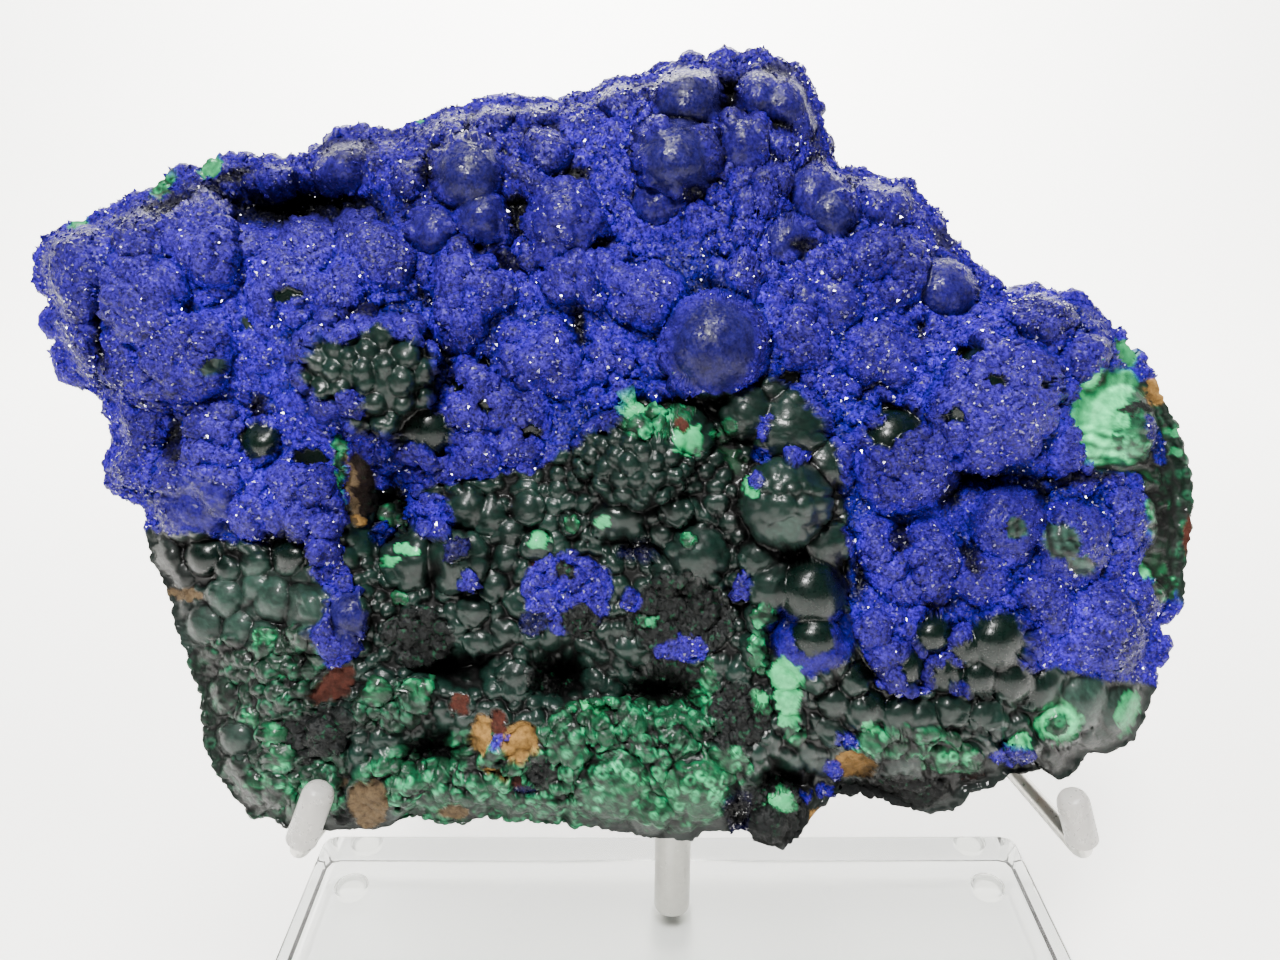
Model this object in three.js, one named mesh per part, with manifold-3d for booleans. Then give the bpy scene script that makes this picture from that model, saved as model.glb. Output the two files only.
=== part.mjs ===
// Azurite on malachite: a broken slab of botryoidal ore leaning back on a three-armed display stand.
// Millimetres, +Z up, the slab's face towards -Y. The origin is the middle of the whole object's
// bounding box, at the level of the feet.

import * as THREE from 'three';
import { mergeVertices } from 'three/addons/utils/BufferGeometryUtils.js';
import Module from 'manifold-3d';

const wasm = await Module();
wasm.setup();

// The slab
const LEAN_DEG = 22;
const EYE_DISTANCE = 200;
const PILLOW = 8;
const SIDE_BULGE_DEPTH = 15;
const SIDE_DEPTH = 27;
const SIDE_SHARE = 0.965;
const BACK_EDGE_DEPTH = 36;
const BACK_SHARE = 0.9;
const BACK_DEPTH = 39;
const BIG_LUMP_RADIUS = 10.5;
const PIT_RAISE = 1;
const UNDERSIDE_SLOPE = 0.404;
const UNDERSIDE_TOP = -18;
const UNDERSIDE_FULL = -52;
const FACE_CENTRE = new THREE.Vector3(-8.6, -22.4, 133);

// The stand: its own zero is the foot of the post on the base plate
const BASE_WIDTH = 203;
const BASE_DEPTH = 101.6;
const BASE_THICKNESS = 19;
const BASE_REAR = 26.5;
const BASE_EDGE = 1;
const BASE_CORNER_RADIUS = 2.5;
const FOOT_RADIUS = 5;
const FOOT_HEIGHT = 3;
const FOOT_INSET = 9;
const POST_RADIUS = 4.75;
const POST_TOP = 60;
const POST_EDGE = 0.8;
const SCREW_BORE_RADIUS = 5.5;
const SCREW_BORE_DEPTH = 15;
const SCREW_HEAD_RADIUS = 4.6;
const SCREW_HEAD_HEIGHT = 4;
const SCREW_HEAD_EDGE = 0.8;
const SCREW_SHANK_RADIUS = 2.1;
const SCREW_REACH = 9;
const HUB_RADIUS = 8.5;
const HUB_BOTTOM = 56;
const HUB_TOP = 68.6;
const HUB_EDGE = 1;
const ARM_LEVEL_AT_HUB = 64;
const ARM_RADIUS = 1.8;
const SLEEVE_RADIUS = 3.1;
const CAP_RADIUS = 3.04;
const LEFT_SLEEVE_COVER = 11.4;
const RIGHT_SLEEVE_COVER = 9.2;
const BACK_SLEEVE_COVER = 16;
const ARM_SOCKET_DEPTH = 4.5;
const GAP = 0.3;
const WELD_DISTANCE = 1e-4;

// How far a cutting solid runs past the face that it cuts, and the sides of the round pieces
const OVERRUN = 1;
const ROD_SIDES = 8;
const SLEEVE_SIDES = 10;
const SMALL_ROUND_SIDES = 10;
const POST_SIDES = 16;
const HUB_SIDES = 18;
const HUB_SOCKET_SIDES = 14;

// A foot's side, from the face it stands on up to the plate: [in from the full radius, height]
const FOOT_PROFILE = [[1.2, 0], [0.3, 0.9], [0, FOOT_HEIGHT - GAP]];

// The face's outline as [across, up, out of the face], clockwise from the left tip.
// Across and up are read at the face, from EYE_DISTANCE in front of it.
const OUTLINE = [
  [-121.4, 45, -3], [-116, 50, -3], [-110.5, 52.8, -3], [-103.5, 55.3, -2], [-98, 58, -2],
  [-86, 63.9, -2], [-76, 64, -2], [-66, 65, -2], [-60, 68.7, -2], [-50, 69.4, -2], [-41, 73, -2],
  [-33, 75.3, -2], [-10, 77, -2], [-4, 80.2, -2], [4, 81, -2], [10, 83.3, -2],
  [18, 84.2, -2], [24.5, 85.2, -2], [32, 82.5, -2], [35, 74, -3], [38.3, 64.4, -3], [46, 61.2, -3],
  [54, 58.8, -3], [59, 52.6, -3], [65, 45, -3], [70.5, 37.9, -3], [74.2, 34.6, -3], [79, 36.7, -3],
  [86, 36, -3], [92, 34.4, -4], [97, 27.7, -5], [102.5, 20.5, -6], [107, 11, -7], [109.7, 2, -8],
  [110.3, -6, -8], [109, -18, -8], [108.4, -25.4, -7], [104, -28.8, -4], [103.5, -36, -3], [102.5, -42, -4],
  [98.5, -51.8, -5], [93, -54.9, -6], [88, -57, -6], [83.5, -60, -6], [79.5, -58.2, -4], [73, -60, -4],
  [64.5, -63.8, -6], [57, -66.5, -8], [51, -64.2, -8], [43, -62.5, -5], [36, -65.6, -3], [31.5, -71.2, -1],
  [28, -73.5, 0], [22.5, -70.4, 0], [16, -70, 0], [9, -72.2, 0], [0, -71, 0], [-9, -69.4, 0],
  [-18, -68.8, 0], [-28, -67, 0], [-37, -68.2, 0], [-46, -66.9, 0], [-53, -69.7, 0], [-62, -69.8, 0],
  [-70, -68.8, -1], [-77, -67.6, -3], [-81, -63.4, -4], [-85.6, -56, -5], [-86.5, -46.5, -5], [-91, -34.5, -6],
  [-93.4, -24.5, -6], [-97.5, -16, -6], [-98.6, -10, -5], [-100.5, -3.6, -4], [-106.5, 0.5, -4],
  [-104.3, 8.5, -4], [-107.6, 15.5, -4], [-115.2, 22.5, -4], [-117.6, 30.5, -4], [-118, 35.5, -4],
];

// Broad swells and hollows of the face: [across, up, half-width, half-height, out of the face]
const SWELLS = [
  [-98, 38, 22, 16, 5],
  [-88, 48, 15, 4, 4],
  [-68, 54.5, 14, 5, -11],
  [-106.5, 29, 3.5, 10, -4],
  [-57, 22, 15, 13, 5],
  [-49, -5, 6, 10, -9],
  [-34, 55, 16, 18, 3],
  [10, 71, 15, 13, 3],
  [18.5, 75, 3, 7, -5],
  [15, 27, 14, 13, 4],
  [70, 15, 17, 14, 5],
  [64, 1, 11, 3, -5],
  [88, -2.5, 13, 4, -4],
  [2, 3, 14, 10, 6],
  [29, -6, 13, 12, 5],
  [36, -32, 12, 11, 4],
  [-62, -16, 6, 20, 4],
  [-40, -53, 6, 4.5, -8],
  [-36, -37, 7, 4, -7],
  [-15, -38.5, 6, 5, -10],
  [4, -42.5, 9, 6, -9],
  [29, -60.5, 5, 4, -6],
  [52, -59, 26, 6, -5],
  [-88, -46, 9, 20, -5],
  [104, -2, 7, 26, -5],
];

// The rough back's own swells, measured the same way but out of the back
const BACK_SWELLS = [
  [-80, 25, 20, 16, 4],
  [-45, 48, 18, 10, -4],
  [-30, 12, 14, 20, 2],
  [38, 38, 20, 16, 4],
  [72, 2, 18, 22, -5],
  [50, -28, 18, 10, 3],
  [-60, -28, 16, 12, -4],
];

// Rounded lumps grown on the face: [across, up, radius, rise above the face around it]
const AZURITE_LUMPS = [
  [-112.5, 42, 8, 4], [-110, 28, 8, 4], [-98, 37, 9, 5], [-90, 25, 10, 6], [-88, 48, 8, 5],
  [-100, 8, 7.5, 4], [-86, 0, 9, 6], [-67, -5, 7.5, 5], [-70, 38, 9, 5], [-53, 44, 8, 5], [-59.5, 62.5, 7, 4],
  [-34.5, 60, 8, 7], [-15.5, 52.5, 7, 7], [-22, 66, 8, 4.5], [9.5, 75, 8, 5.5], [7, 63.5, 8, 8],
  [25, 74, 9, 4.5], [37, 54, 8, 6], [-36, 34, 9, 5.5], [-33, 17, 8, 5], [-20, 25, 8, 6], [-10, 38, 7.5, 5],
  [15, 27, 10, 10.5], [2, 36, 8, 6], [42, 30, 9, 4.5], [59, 38, 7.5, 4.5], [84, 28, 8, 4], [70, 15, 12, 9],
  [52.5, 4, 11, 8], [71.4, -9.2, 8, 6], [85.5, -14.5, 9, 7], [91, -30, 9, 4.5], [56, -17, 9, 5],
  [36, -32, 11, 6],
];
const MALACHITE_LUMPS = [
  [-59.5, 23.5, 8, 8], [-50, 18, 10, 8], [0, 4, 9, 6.5], [29, 7, 9, 7.5], [29, -5, 9, 9.5], [93, 10, 10, 2.5],
  [34, -23.4, 8, 8], [12, -14.4, 7, 6.5], [-37.5, -17.4, 7, 6.5], [-61.5, -26, 8, 6], [-76, -20, 9, 5],
  [72, -33, 9, 6], [45, -46, 8, 4.5], [-53, -46, 10, 4], [-77, -53, 10, 4.5], [-7, -60, 10, 4.5],
  [18, -46, 9, 4.5], [28, -66, 6.5, 4.5],
];

// Openings worn or broken into the crust: [across, up, half-width, half-height, depth below the face]
const PITS = [
  [-67, 54, 12, 4, 9],
  [4, -42.5, 7, 5, 7],
];

// The slab's side, from the outline to the back's edge: share of the outline's size, and depth
const SIDE_ROWS = [[1, SIDE_BULGE_DEPTH], [SIDE_SHARE, SIDE_DEPTH], [BACK_SHARE, BACK_EDGE_DEPTH]];

// The three arms, as points of their centre lines in the stand's own frame: [x, y, z, bend radius]
const LEFT_ARM = [[0, 0, ARM_LEVEL_AT_HUB], [-66, -8, 65, 9], [-76.3, -53.3, 65.8, 4], [-70.3, -53.3, 80.2]];
const RIGHT_ARM = [[0, 0, ARM_LEVEL_AT_HUB], [70, -8, 65, 9], [79.1, -53.3, 65.8, 4], [74.6, -53.3, 78.4]];
const BACK_ARM = [[0, 0, ARM_LEVEL_AT_HUB], [0, 17.5, 64.5, 5], [0, 16.6, 112]];
const BEND_PIECES = 3;

const AZURITE_BLUE = 0x1b1f8c;
const STEEL = { color: 0xb8b8b4, roughness: 0.35, metalness: 1 };
const CLEAR_ACRYLIC = { color: 0xeef3ee, roughness: 0.05, metalness: 0, transparent: true, opacity: 0.35 };
const CLEAR_VINYL = { color: 0xdedbd2, roughness: 0.3, metalness: 0, transparent: true, opacity: 0.6 };

// The outline's distance from the middle, and its depth, in a given direction
function edgeTowards(angle) {
  const turn = 2 * Math.PI;
  let best = OUTLINE[0];
  let bestShare = 0;
  let next = OUTLINE[1];
  for (let i = 0; i < OUTLINE.length; i += 1) {
    const a = OUTLINE[i];
    const b = OUTLINE[(i + 1) % OUTLINE.length];
    const start = Math.atan2(a[1], a[0]);
    const span = (start - Math.atan2(b[1], b[0]) + turn) % turn;
    const along = (start - angle + turn) % turn;
    if (along <= span && span < Math.PI) {
      best = a;
      next = b;
      bestShare = span > 0 ? along / span : 0;
    }
  }
  const blend = (k) => best[k] + (next[k] - best[k]) * bestShare;
  return { radius: Math.hypot(blend(0), blend(1)), depth: blend(2) };
}

function sumOfSwells(swells, across, up) {
  let height = 0;
  for (const [x, y, halfWidth, halfHeight, rise] of swells) {
    const fall = ((across - x) / halfWidth) ** 2 + ((up - y) / halfHeight) ** 2;
    height += rise * Math.exp(-fall);
  }
  return height;
}

// How far the face stands out at a point: the edge's own depth, a pillow that rises quickly from it,
// and the broad swells
function faceHeight(across, up) {
  const edge = edgeTowards(Math.atan2(up, across));
  const share = Math.min(1, Math.hypot(across, up) / edge.radius);
  const pillow = edge.depth * share ** 4 + PILLOW * (1 - share ** 8);
  return pillow + sumOfSwells(SWELLS, across, up);
}

// A point seen at (across, up) on the face, moved along its line of sight to its own depth.
// The slab's frame has X across, Z up the face and -Y out of it.
function onSightLine(across, up, height) {
  const shrink = (EYE_DISTANCE - height) / EYE_DISTANCE;
  return new THREE.Vector3(across * shrink, -height, up * shrink);
}

function toSolid(geometry) {
  const bare = geometry.clone();
  bare.deleteAttribute('normal');
  bare.deleteAttribute('uv');
  const merged = mergeVertices(bare, WELD_DISTANCE);
  const mesh = new wasm.Mesh({
    numProp: 3,
    vertProperties: new Float32Array(merged.attributes.position.array),
    triVerts: new Uint32Array(merged.index.array),
  });
  return new wasm.Manifold(mesh);
}

function toGeometry(solid) {
  const mesh = solid.getMesh();
  const geometry = new THREE.BufferGeometry();
  geometry.setAttribute('position', new THREE.BufferAttribute(mesh.vertProperties, 3));
  geometry.setIndex(new THREE.BufferAttribute(mesh.triVerts, 1));
  geometry.computeVertexNormals();
  return geometry;
}

// A point of the outline, counted along it in points
function outlineAt(index) {
  const whole = Math.floor(index);
  const a = OUTLINE[whole % OUTLINE.length];
  const b = OUTLINE[(whole + 1) % OUTLINE.length];
  return a.map((value, k) => value + (b[k] - value) * (index - whole));
}

// How far round a square, in sides, the direction of (x, y) lies, clockwise from its top left corner
function roundSquare(x, y) {
  const reach = Math.max(Math.abs(x), Math.abs(y));
  if (reach === 0) {
    return 0;
  }
  const right = x / reach;
  const top = y / reach;
  if (top === 1) {
    return (right + 1) / 2;
  }
  if (right === 1) {
    return 1 + (1 - top) / 2;
  }
  return top === -1 ? 2 + (1 - right) / 2 : 3 + (top + 1) / 2;
}

// The bare slab: a box whose front becomes the face, whose back becomes the back, and whose rim follows
// the outline, one point of the outline to one point of the rim
function slabGeometry() {
  const segments = OUTLINE.length / 4;
  const box = new THREE.BoxGeometry(2, 2, 2, segments, segments, SIDE_ROWS.length);
  const position = box.attributes.position;
  for (let i = 0; i < position.count; i += 1) {
    const x = position.getX(i);
    const y = position.getY(i);
    const reach = Math.max(Math.abs(x), Math.abs(y));
    const rim = outlineAt((roundSquare(x, y) * OUTLINE.length) / 4);
    const row = Math.round(((1 - position.getZ(i)) / 2) * SIDE_ROWS.length);
    let point;
    if (row === 0) {
      point = facePoint(rim, reach);
    } else if (row < SIDE_ROWS.length) {
      point = sidePoint(rim, ...SIDE_ROWS[row - 1]);
    } else {
      point = backPoint(rim, reach);
    }
    position.setXYZ(i, point.x, point.y, point.z);
  }
  return box;
}

function facePoint([across, up, depth], share) {
  const height = share === 1 ? depth : faceHeight(across * share, up * share);
  return onSightLine(across * share, up * share, height);
}

// Low down, the side slopes up towards the back, so that the underside is level once the slab leans
function sidePoint([across, up, depth], share, below) {
  const edge = onSightLine(across, up, depth);
  const low = THREE.MathUtils.clamp((UNDERSIDE_TOP - up) / (UNDERSIDE_TOP - UNDERSIDE_FULL), 0, 1);
  const lift = low * UNDERSIDE_SLOPE * (below + depth);
  return new THREE.Vector3(edge.x * share, below, edge.z * share + lift);
}

function backPoint(rim, share) {
  const edge = sidePoint(rim, BACK_SHARE, BACK_EDGE_DEPTH);
  const across = edge.x * share;
  const up = edge.z * share;
  const crown = (BACK_DEPTH - BACK_EDGE_DEPTH) * (1 - share ** 4);
  const swell = sumOfSwells(BACK_SWELLS, across, up) * (1 - share ** 4);
  return new THREE.Vector3(across, BACK_EDGE_DEPTH + crown + swell, up);
}

// One lump: a ball whose middle lies below the face, so that it rises by the stated amount
function lumpGeometry([across, up, radius, rise]) {
  const detail = radius > BIG_LUMP_RADIUS ? 2 : 1;
  const middle = faceHeight(across, up) + rise - radius;
  const ball = new THREE.IcosahedronGeometry(radius, detail);
  // Its place, read as angles, turns each ball's facets a different way
  ball.rotateX(across);
  ball.rotateZ(up);
  const place = onSightLine(across, up, middle);
  ball.translate(place.x, place.y, place.z);
  return ball;
}

function pitGeometry([across, up, halfWidth, halfHeight, depth]) {
  const pit = new THREE.IcosahedronGeometry(1, 1);
  pit.scale(halfWidth, depth, halfHeight);
  const place = onSightLine(across, up, faceHeight(across, up) + PIT_RAISE);
  pit.translate(place.x, place.y, place.z);
  return pit;
}

function specimenGeometry() {
  let solid = toSolid(slabGeometry());
  for (const lump of [...AZURITE_LUMPS, ...MALACHITE_LUMPS]) {
    solid = solid.add(toSolid(lumpGeometry(lump)));
  }
  for (const pit of PITS) {
    solid = solid.subtract(toSolid(pitGeometry(pit)));
  }
  return toGeometry(solid);
}

// A line through knots, whose steps fall on the knots themselves, so that straight stretches take one step
class KnottedPath extends THREE.Curve {
  constructor(knots) {
    super();
    this.knots = knots;
  }

  getPoint(t, target = new THREE.Vector3()) {
    const place = THREE.MathUtils.clamp(t, 0, 1) * (this.knots.length - 1);
    const whole = Math.min(Math.floor(place), this.knots.length - 2);
    return target.lerpVectors(this.knots[whole], this.knots[whole + 1], place - whole);
  }

  getPointAt(t, target) {
    return this.getPoint(t, target);
  }

  getTangentAt(t, target) {
    return this.getTangent(t, target);
  }
}

// Straight lines between points, with each corner rounded by its own radius
function roundedPath(points) {
  const corners = points.map(([x, y, z]) => new THREE.Vector3(x, y, z));
  const knots = [corners[0]];
  for (let i = 1; i < corners.length - 1; i += 1) {
    const corner = corners[i];
    const radius = points[i][3];
    const before = corner.clone().add(corners[i - 1].clone().sub(corner).setLength(radius));
    const after = corner.clone().add(corners[i + 1].clone().sub(corner).setLength(radius));
    knots.push(...new THREE.QuadraticBezierCurve3(before, corner, after).getPoints(BEND_PIECES));
  }
  knots.push(corners.at(-1));
  return new KnottedPath(knots);
}

function roundSection(radius, sides) {
  const shape = new THREE.Shape();
  for (let i = 0; i < sides; i += 1) {
    const angle = (2 * Math.PI * i) / sides;
    const x = radius * Math.cos(angle);
    const y = radius * Math.sin(angle);
    if (i === 0) {
      shape.moveTo(x, y);
    } else {
      shape.lineTo(x, y);
    }
  }
  shape.closePath();
  return shape;
}

function rod(points, radius, sides) {
  const extrudePath = roundedPath(points);
  const steps = extrudePath.knots.length - 1;
  return new THREE.ExtrudeGeometry(roundSection(radius, sides), { steps, extrudePath });
}

// The arm's centre line with its hub end drawn back to the bottom of its socket
function armLine(points) {
  const [hub, next, ...rest] = points;
  const inner = HUB_RADIUS - ARM_SOCKET_DEPTH + GAP;
  const start = new THREE.Vector3(...hub);
  const target = new THREE.Vector3(next[0], next[1], next[2]);
  start.add(target.sub(start).setLength(inner));
  return [start.toArray(), next, ...rest];
}

// A clear sleeve: a capped tube over an arm's upright end, open at its lower end.
// cover says how much of the upright stretch it covers.
function sleeveGeometry(points, cover) {
  const tip = new THREE.Vector3(...points.at(-1));
  const [cornerX, cornerY, cornerZ] = points.at(-2);
  const along = tip.clone().sub(new THREE.Vector3(cornerX, cornerY, cornerZ)).normalize();
  const pointAt = (distance) => tip.clone().addScaledVector(along, distance).toArray();
  const outer = rod([pointAt(-cover), pointAt(0)], SLEEVE_RADIUS, SLEEVE_SIDES);
  const cap = new THREE.SphereGeometry(CAP_RADIUS, 8, 5);
  cap.translate(tip.x, tip.y, tip.z);
  const inner = rod([pointAt(-cover - OVERRUN), pointAt(GAP)], ARM_RADIUS + GAP, ROD_SIDES);
  return toGeometry(toSolid(outer).add(toSolid(cap)).subtract(toSolid(inner)));
}

function revolve(profile, segments) {
  const points = profile.map(([radius, height]) => new THREE.Vector2(radius, height));
  const turned = new THREE.LatheGeometry(points, segments);
  turned.rotateX(Math.PI / 2);
  return turned;
}

function hubGeometry() {
  const body = revolve([
    [0, HUB_BOTTOM], [HUB_RADIUS - HUB_EDGE, HUB_BOTTOM], [HUB_RADIUS, HUB_BOTTOM + HUB_EDGE],
    [HUB_RADIUS, HUB_TOP - HUB_EDGE], [HUB_RADIUS - HUB_EDGE, HUB_TOP], [0, HUB_TOP],
  ], HUB_SIDES);
  const socketRadius = POST_RADIUS + GAP;
  const postSocket = revolve([
    [0, HUB_BOTTOM - OVERRUN], [socketRadius, HUB_BOTTOM - OVERRUN],
    [socketRadius, POST_TOP + GAP], [0, POST_TOP + GAP],
  ], HUB_SOCKET_SIDES);
  let hub = toSolid(body).subtract(toSolid(postSocket));
  for (const points of [LEFT_ARM, RIGHT_ARM, BACK_ARM]) {
    const [start, [x, y, z]] = armLine(points);
    const from = new THREE.Vector3(...start);
    const direction = new THREE.Vector3(x, y, z).sub(from).normalize();
    from.addScaledVector(direction, -GAP);
    const to = from.clone().addScaledVector(direction, HUB_RADIUS);
    const bore = rod([from.toArray(), to.toArray()], ARM_RADIUS + GAP, ROD_SIDES);
    hub = hub.subtract(toSolid(bore));
  }
  return toGeometry(hub);
}

function postGeometry() {
  const threadRadius = SCREW_SHANK_RADIUS + GAP;
  return revolve([
    [0, SCREW_REACH + GAP], [threadRadius, SCREW_REACH + GAP], [threadRadius, GAP],
    [POST_RADIUS, GAP], [POST_RADIUS, POST_TOP - POST_EDGE], [POST_RADIUS - POST_EDGE, POST_TOP], [0, POST_TOP],
  ], POST_SIDES);
}

// The base plate: a polished clear slab with softened edges, drilled from below for the post's screw
function baseGeometry() {
  const halfWidth = BASE_WIDTH / 2 - BASE_EDGE;
  const front = BASE_REAR - BASE_DEPTH + BASE_EDGE;
  const rear = BASE_REAR - BASE_EDGE;
  const corner = BASE_CORNER_RADIUS;
  const plate = new THREE.Shape();
  plate.moveTo(-halfWidth + corner, front);
  plate.lineTo(halfWidth - corner, front);
  plate.absarc(halfWidth - corner, front + corner, corner, -Math.PI / 2, 0);
  plate.lineTo(halfWidth, rear - corner);
  plate.absarc(halfWidth - corner, rear - corner, corner, 0, Math.PI / 2);
  plate.lineTo(-halfWidth + corner, rear);
  plate.absarc(-halfWidth + corner, rear - corner, corner, Math.PI / 2, Math.PI);
  plate.lineTo(-halfWidth, front + corner);
  plate.absarc(-halfWidth + corner, front + corner, corner, Math.PI, 1.5 * Math.PI);
  const body = new THREE.ExtrudeGeometry(plate, {
    depth: BASE_THICKNESS - 2 * BASE_EDGE,
    bevelThickness: BASE_EDGE,
    bevelSize: BASE_EDGE,
    bevelSegments: 1,
    curveSegments: 2,
  });
  body.translate(0, 0, BASE_EDGE - BASE_THICKNESS);
  const boreTop = SCREW_BORE_DEPTH - BASE_THICKNESS;
  const shankHole = SCREW_SHANK_RADIUS + GAP;
  const drilled = revolve([
    [0, -BASE_THICKNESS - OVERRUN], [SCREW_BORE_RADIUS, -BASE_THICKNESS - OVERRUN],
    [SCREW_BORE_RADIUS, boreTop], [shankHole, boreTop], [shankHole, OVERRUN], [0, OVERRUN],
  ], POST_SIDES);
  return toGeometry(toSolid(body).subtract(toSolid(drilled)));
}

function screwGeometry() {
  const seat = SCREW_BORE_DEPTH - BASE_THICKNESS - GAP;
  return revolve([
    [0, seat - SCREW_HEAD_HEIGHT], [SCREW_HEAD_RADIUS - SCREW_HEAD_EDGE, seat - SCREW_HEAD_HEIGHT],
    [SCREW_HEAD_RADIUS, seat - SCREW_HEAD_HEIGHT + SCREW_HEAD_EDGE], [SCREW_HEAD_RADIUS, seat],
    [SCREW_SHANK_RADIUS, seat], [SCREW_SHANK_RADIUS, SCREW_REACH], [0, SCREW_REACH],
  ], SMALL_ROUND_SIDES);
}

function footGeometry() {
  const bottom = -BASE_THICKNESS - FOOT_HEIGHT;
  const side = FOOT_PROFILE.map(([inset, height]) => [FOOT_RADIUS - inset, bottom + height]);
  return revolve([[0, bottom], ...side, [0, side.at(-1)[1]]], SMALL_ROUND_SIDES);
}

const model = new THREE.Group();

function addPart(name, geometry, look, parent = model) {
  const mesh = new THREE.Mesh(geometry, new THREE.MeshStandardMaterial(look));
  mesh.name = name;
  parent.add(mesh);
  return mesh;
}

const leaning = new THREE.Group();
leaning.position.copy(FACE_CENTRE);
leaning.rotation.x = THREE.MathUtils.degToRad(-LEAN_DEG);
model.add(leaning);

addPart('specimen', specimenGeometry(), { color: AZURITE_BLUE, roughness: 0.6, metalness: 0 }, leaning);
addPart('base_plate', baseGeometry(), CLEAR_ACRYLIC);
addPart('post', postGeometry(), STEEL);
addPart('post_screw', screwGeometry(), STEEL);
addPart('arm_hub', hubGeometry(), STEEL);
addPart('left_arm', rod(armLine(LEFT_ARM), ARM_RADIUS, ROD_SIDES), STEEL);
addPart('right_arm', rod(armLine(RIGHT_ARM), ARM_RADIUS, ROD_SIDES), STEEL);
addPart('back_arm', rod(armLine(BACK_ARM), ARM_RADIUS, ROD_SIDES), STEEL);
addPart('left_sleeve', sleeveGeometry(LEFT_ARM, LEFT_SLEEVE_COVER), CLEAR_VINYL);
addPart('right_sleeve', sleeveGeometry(RIGHT_ARM, RIGHT_SLEEVE_COVER), CLEAR_VINYL);
addPart('back_sleeve', sleeveGeometry(BACK_ARM, BACK_SLEEVE_COVER), CLEAR_VINYL);

const footX = BASE_WIDTH / 2 - FOOT_INSET;
const footFront = BASE_REAR - BASE_DEPTH + FOOT_INSET;
const footRear = BASE_REAR - FOOT_INSET;
const FEET = [
  ['front_left', -footX, footFront], ['front_right', footX, footFront],
  ['rear_left', -footX, footRear], ['rear_right', footX, footRear],
];
for (const [corner, x, y] of FEET) {
  addPart(`foot_${corner}`, footGeometry(), CLEAR_VINYL).position.set(x, y, 0);
}

// Put the origin under the middle of the whole object
model.updateMatrixWorld(true);
const bounds = new THREE.Box3().setFromObject(model, true);
const middle = bounds.getCenter(new THREE.Vector3());
model.position.set(-middle.x, -middle.y, -bounds.min.z);

export default model;
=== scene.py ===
import bpy
import numpy as np
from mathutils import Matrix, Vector


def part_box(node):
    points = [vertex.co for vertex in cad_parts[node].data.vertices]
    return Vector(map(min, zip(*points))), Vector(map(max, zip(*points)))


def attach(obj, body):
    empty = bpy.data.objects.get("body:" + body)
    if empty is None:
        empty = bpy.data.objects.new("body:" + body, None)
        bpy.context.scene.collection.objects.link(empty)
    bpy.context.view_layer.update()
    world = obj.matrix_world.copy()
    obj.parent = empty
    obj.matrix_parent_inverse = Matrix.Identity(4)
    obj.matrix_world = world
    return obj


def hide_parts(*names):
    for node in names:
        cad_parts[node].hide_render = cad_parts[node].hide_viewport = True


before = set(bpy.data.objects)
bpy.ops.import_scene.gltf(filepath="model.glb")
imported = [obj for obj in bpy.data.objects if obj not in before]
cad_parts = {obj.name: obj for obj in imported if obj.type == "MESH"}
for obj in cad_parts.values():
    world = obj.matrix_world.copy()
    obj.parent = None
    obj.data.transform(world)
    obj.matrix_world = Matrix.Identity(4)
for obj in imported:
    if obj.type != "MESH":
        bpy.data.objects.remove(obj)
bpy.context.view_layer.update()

# A broken slab of botryoidal azurite grown over malachite, on its clear and steel display stand.
# The slab is worked out in millimetres in the face's own frame: across, up the face, and out of it.
# Places on the face are given as they are seen from EYE_DISTANCE in front of its centre.

MM = 0.001
LEAN = np.radians(22)
EYE_DISTANCE = 200
SIGHT_WIDTH = 256  # how much of the face's plane the camera sees, across
OUT_OF_FACE = np.array([0, -np.cos(LEAN), np.sin(LEAN)])

# The stand's zero is the foot of the post on the base plate
post_low, post_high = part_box("post")
base_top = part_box("base_plate")[1].z
STAND = np.array([(post_low.x + post_high.x) / 2, (post_low.y + post_high.y) / 2, base_top]) / MM
FACE_CENTRE = STAND + (-8.6, -22.4, 133)

# Cells across and up the face, and the rows of the crust that wrap round its edge
FACE_COLUMNS = 520
FACE_ROWS = 340
WRAP_ROWS = 22
RIM_STEPS = 2 * (FACE_COLUMNS + FACE_ROWS)
WRAP_DEPTH = 10.5
WRAP_INSETS = np.append(np.zeros(WRAP_ROWS - 4), (0.4, 1.2, 2.4, 3.8))
PILLOW = 8  # how far the middle of the face stands out of its rim
CURTAIN_DEPTH = -24  # where the hidden sides of the crust's patches end
UNDERSIDE = (-18, -52)  # below the first height the side begins to slope, and below the second it does fully
UNDERSIDE_SLOPE = 0.404
BODY_SIDES = 688
BODY_FRONT_RINGS = 10
CRYSTALS = 18000

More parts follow.
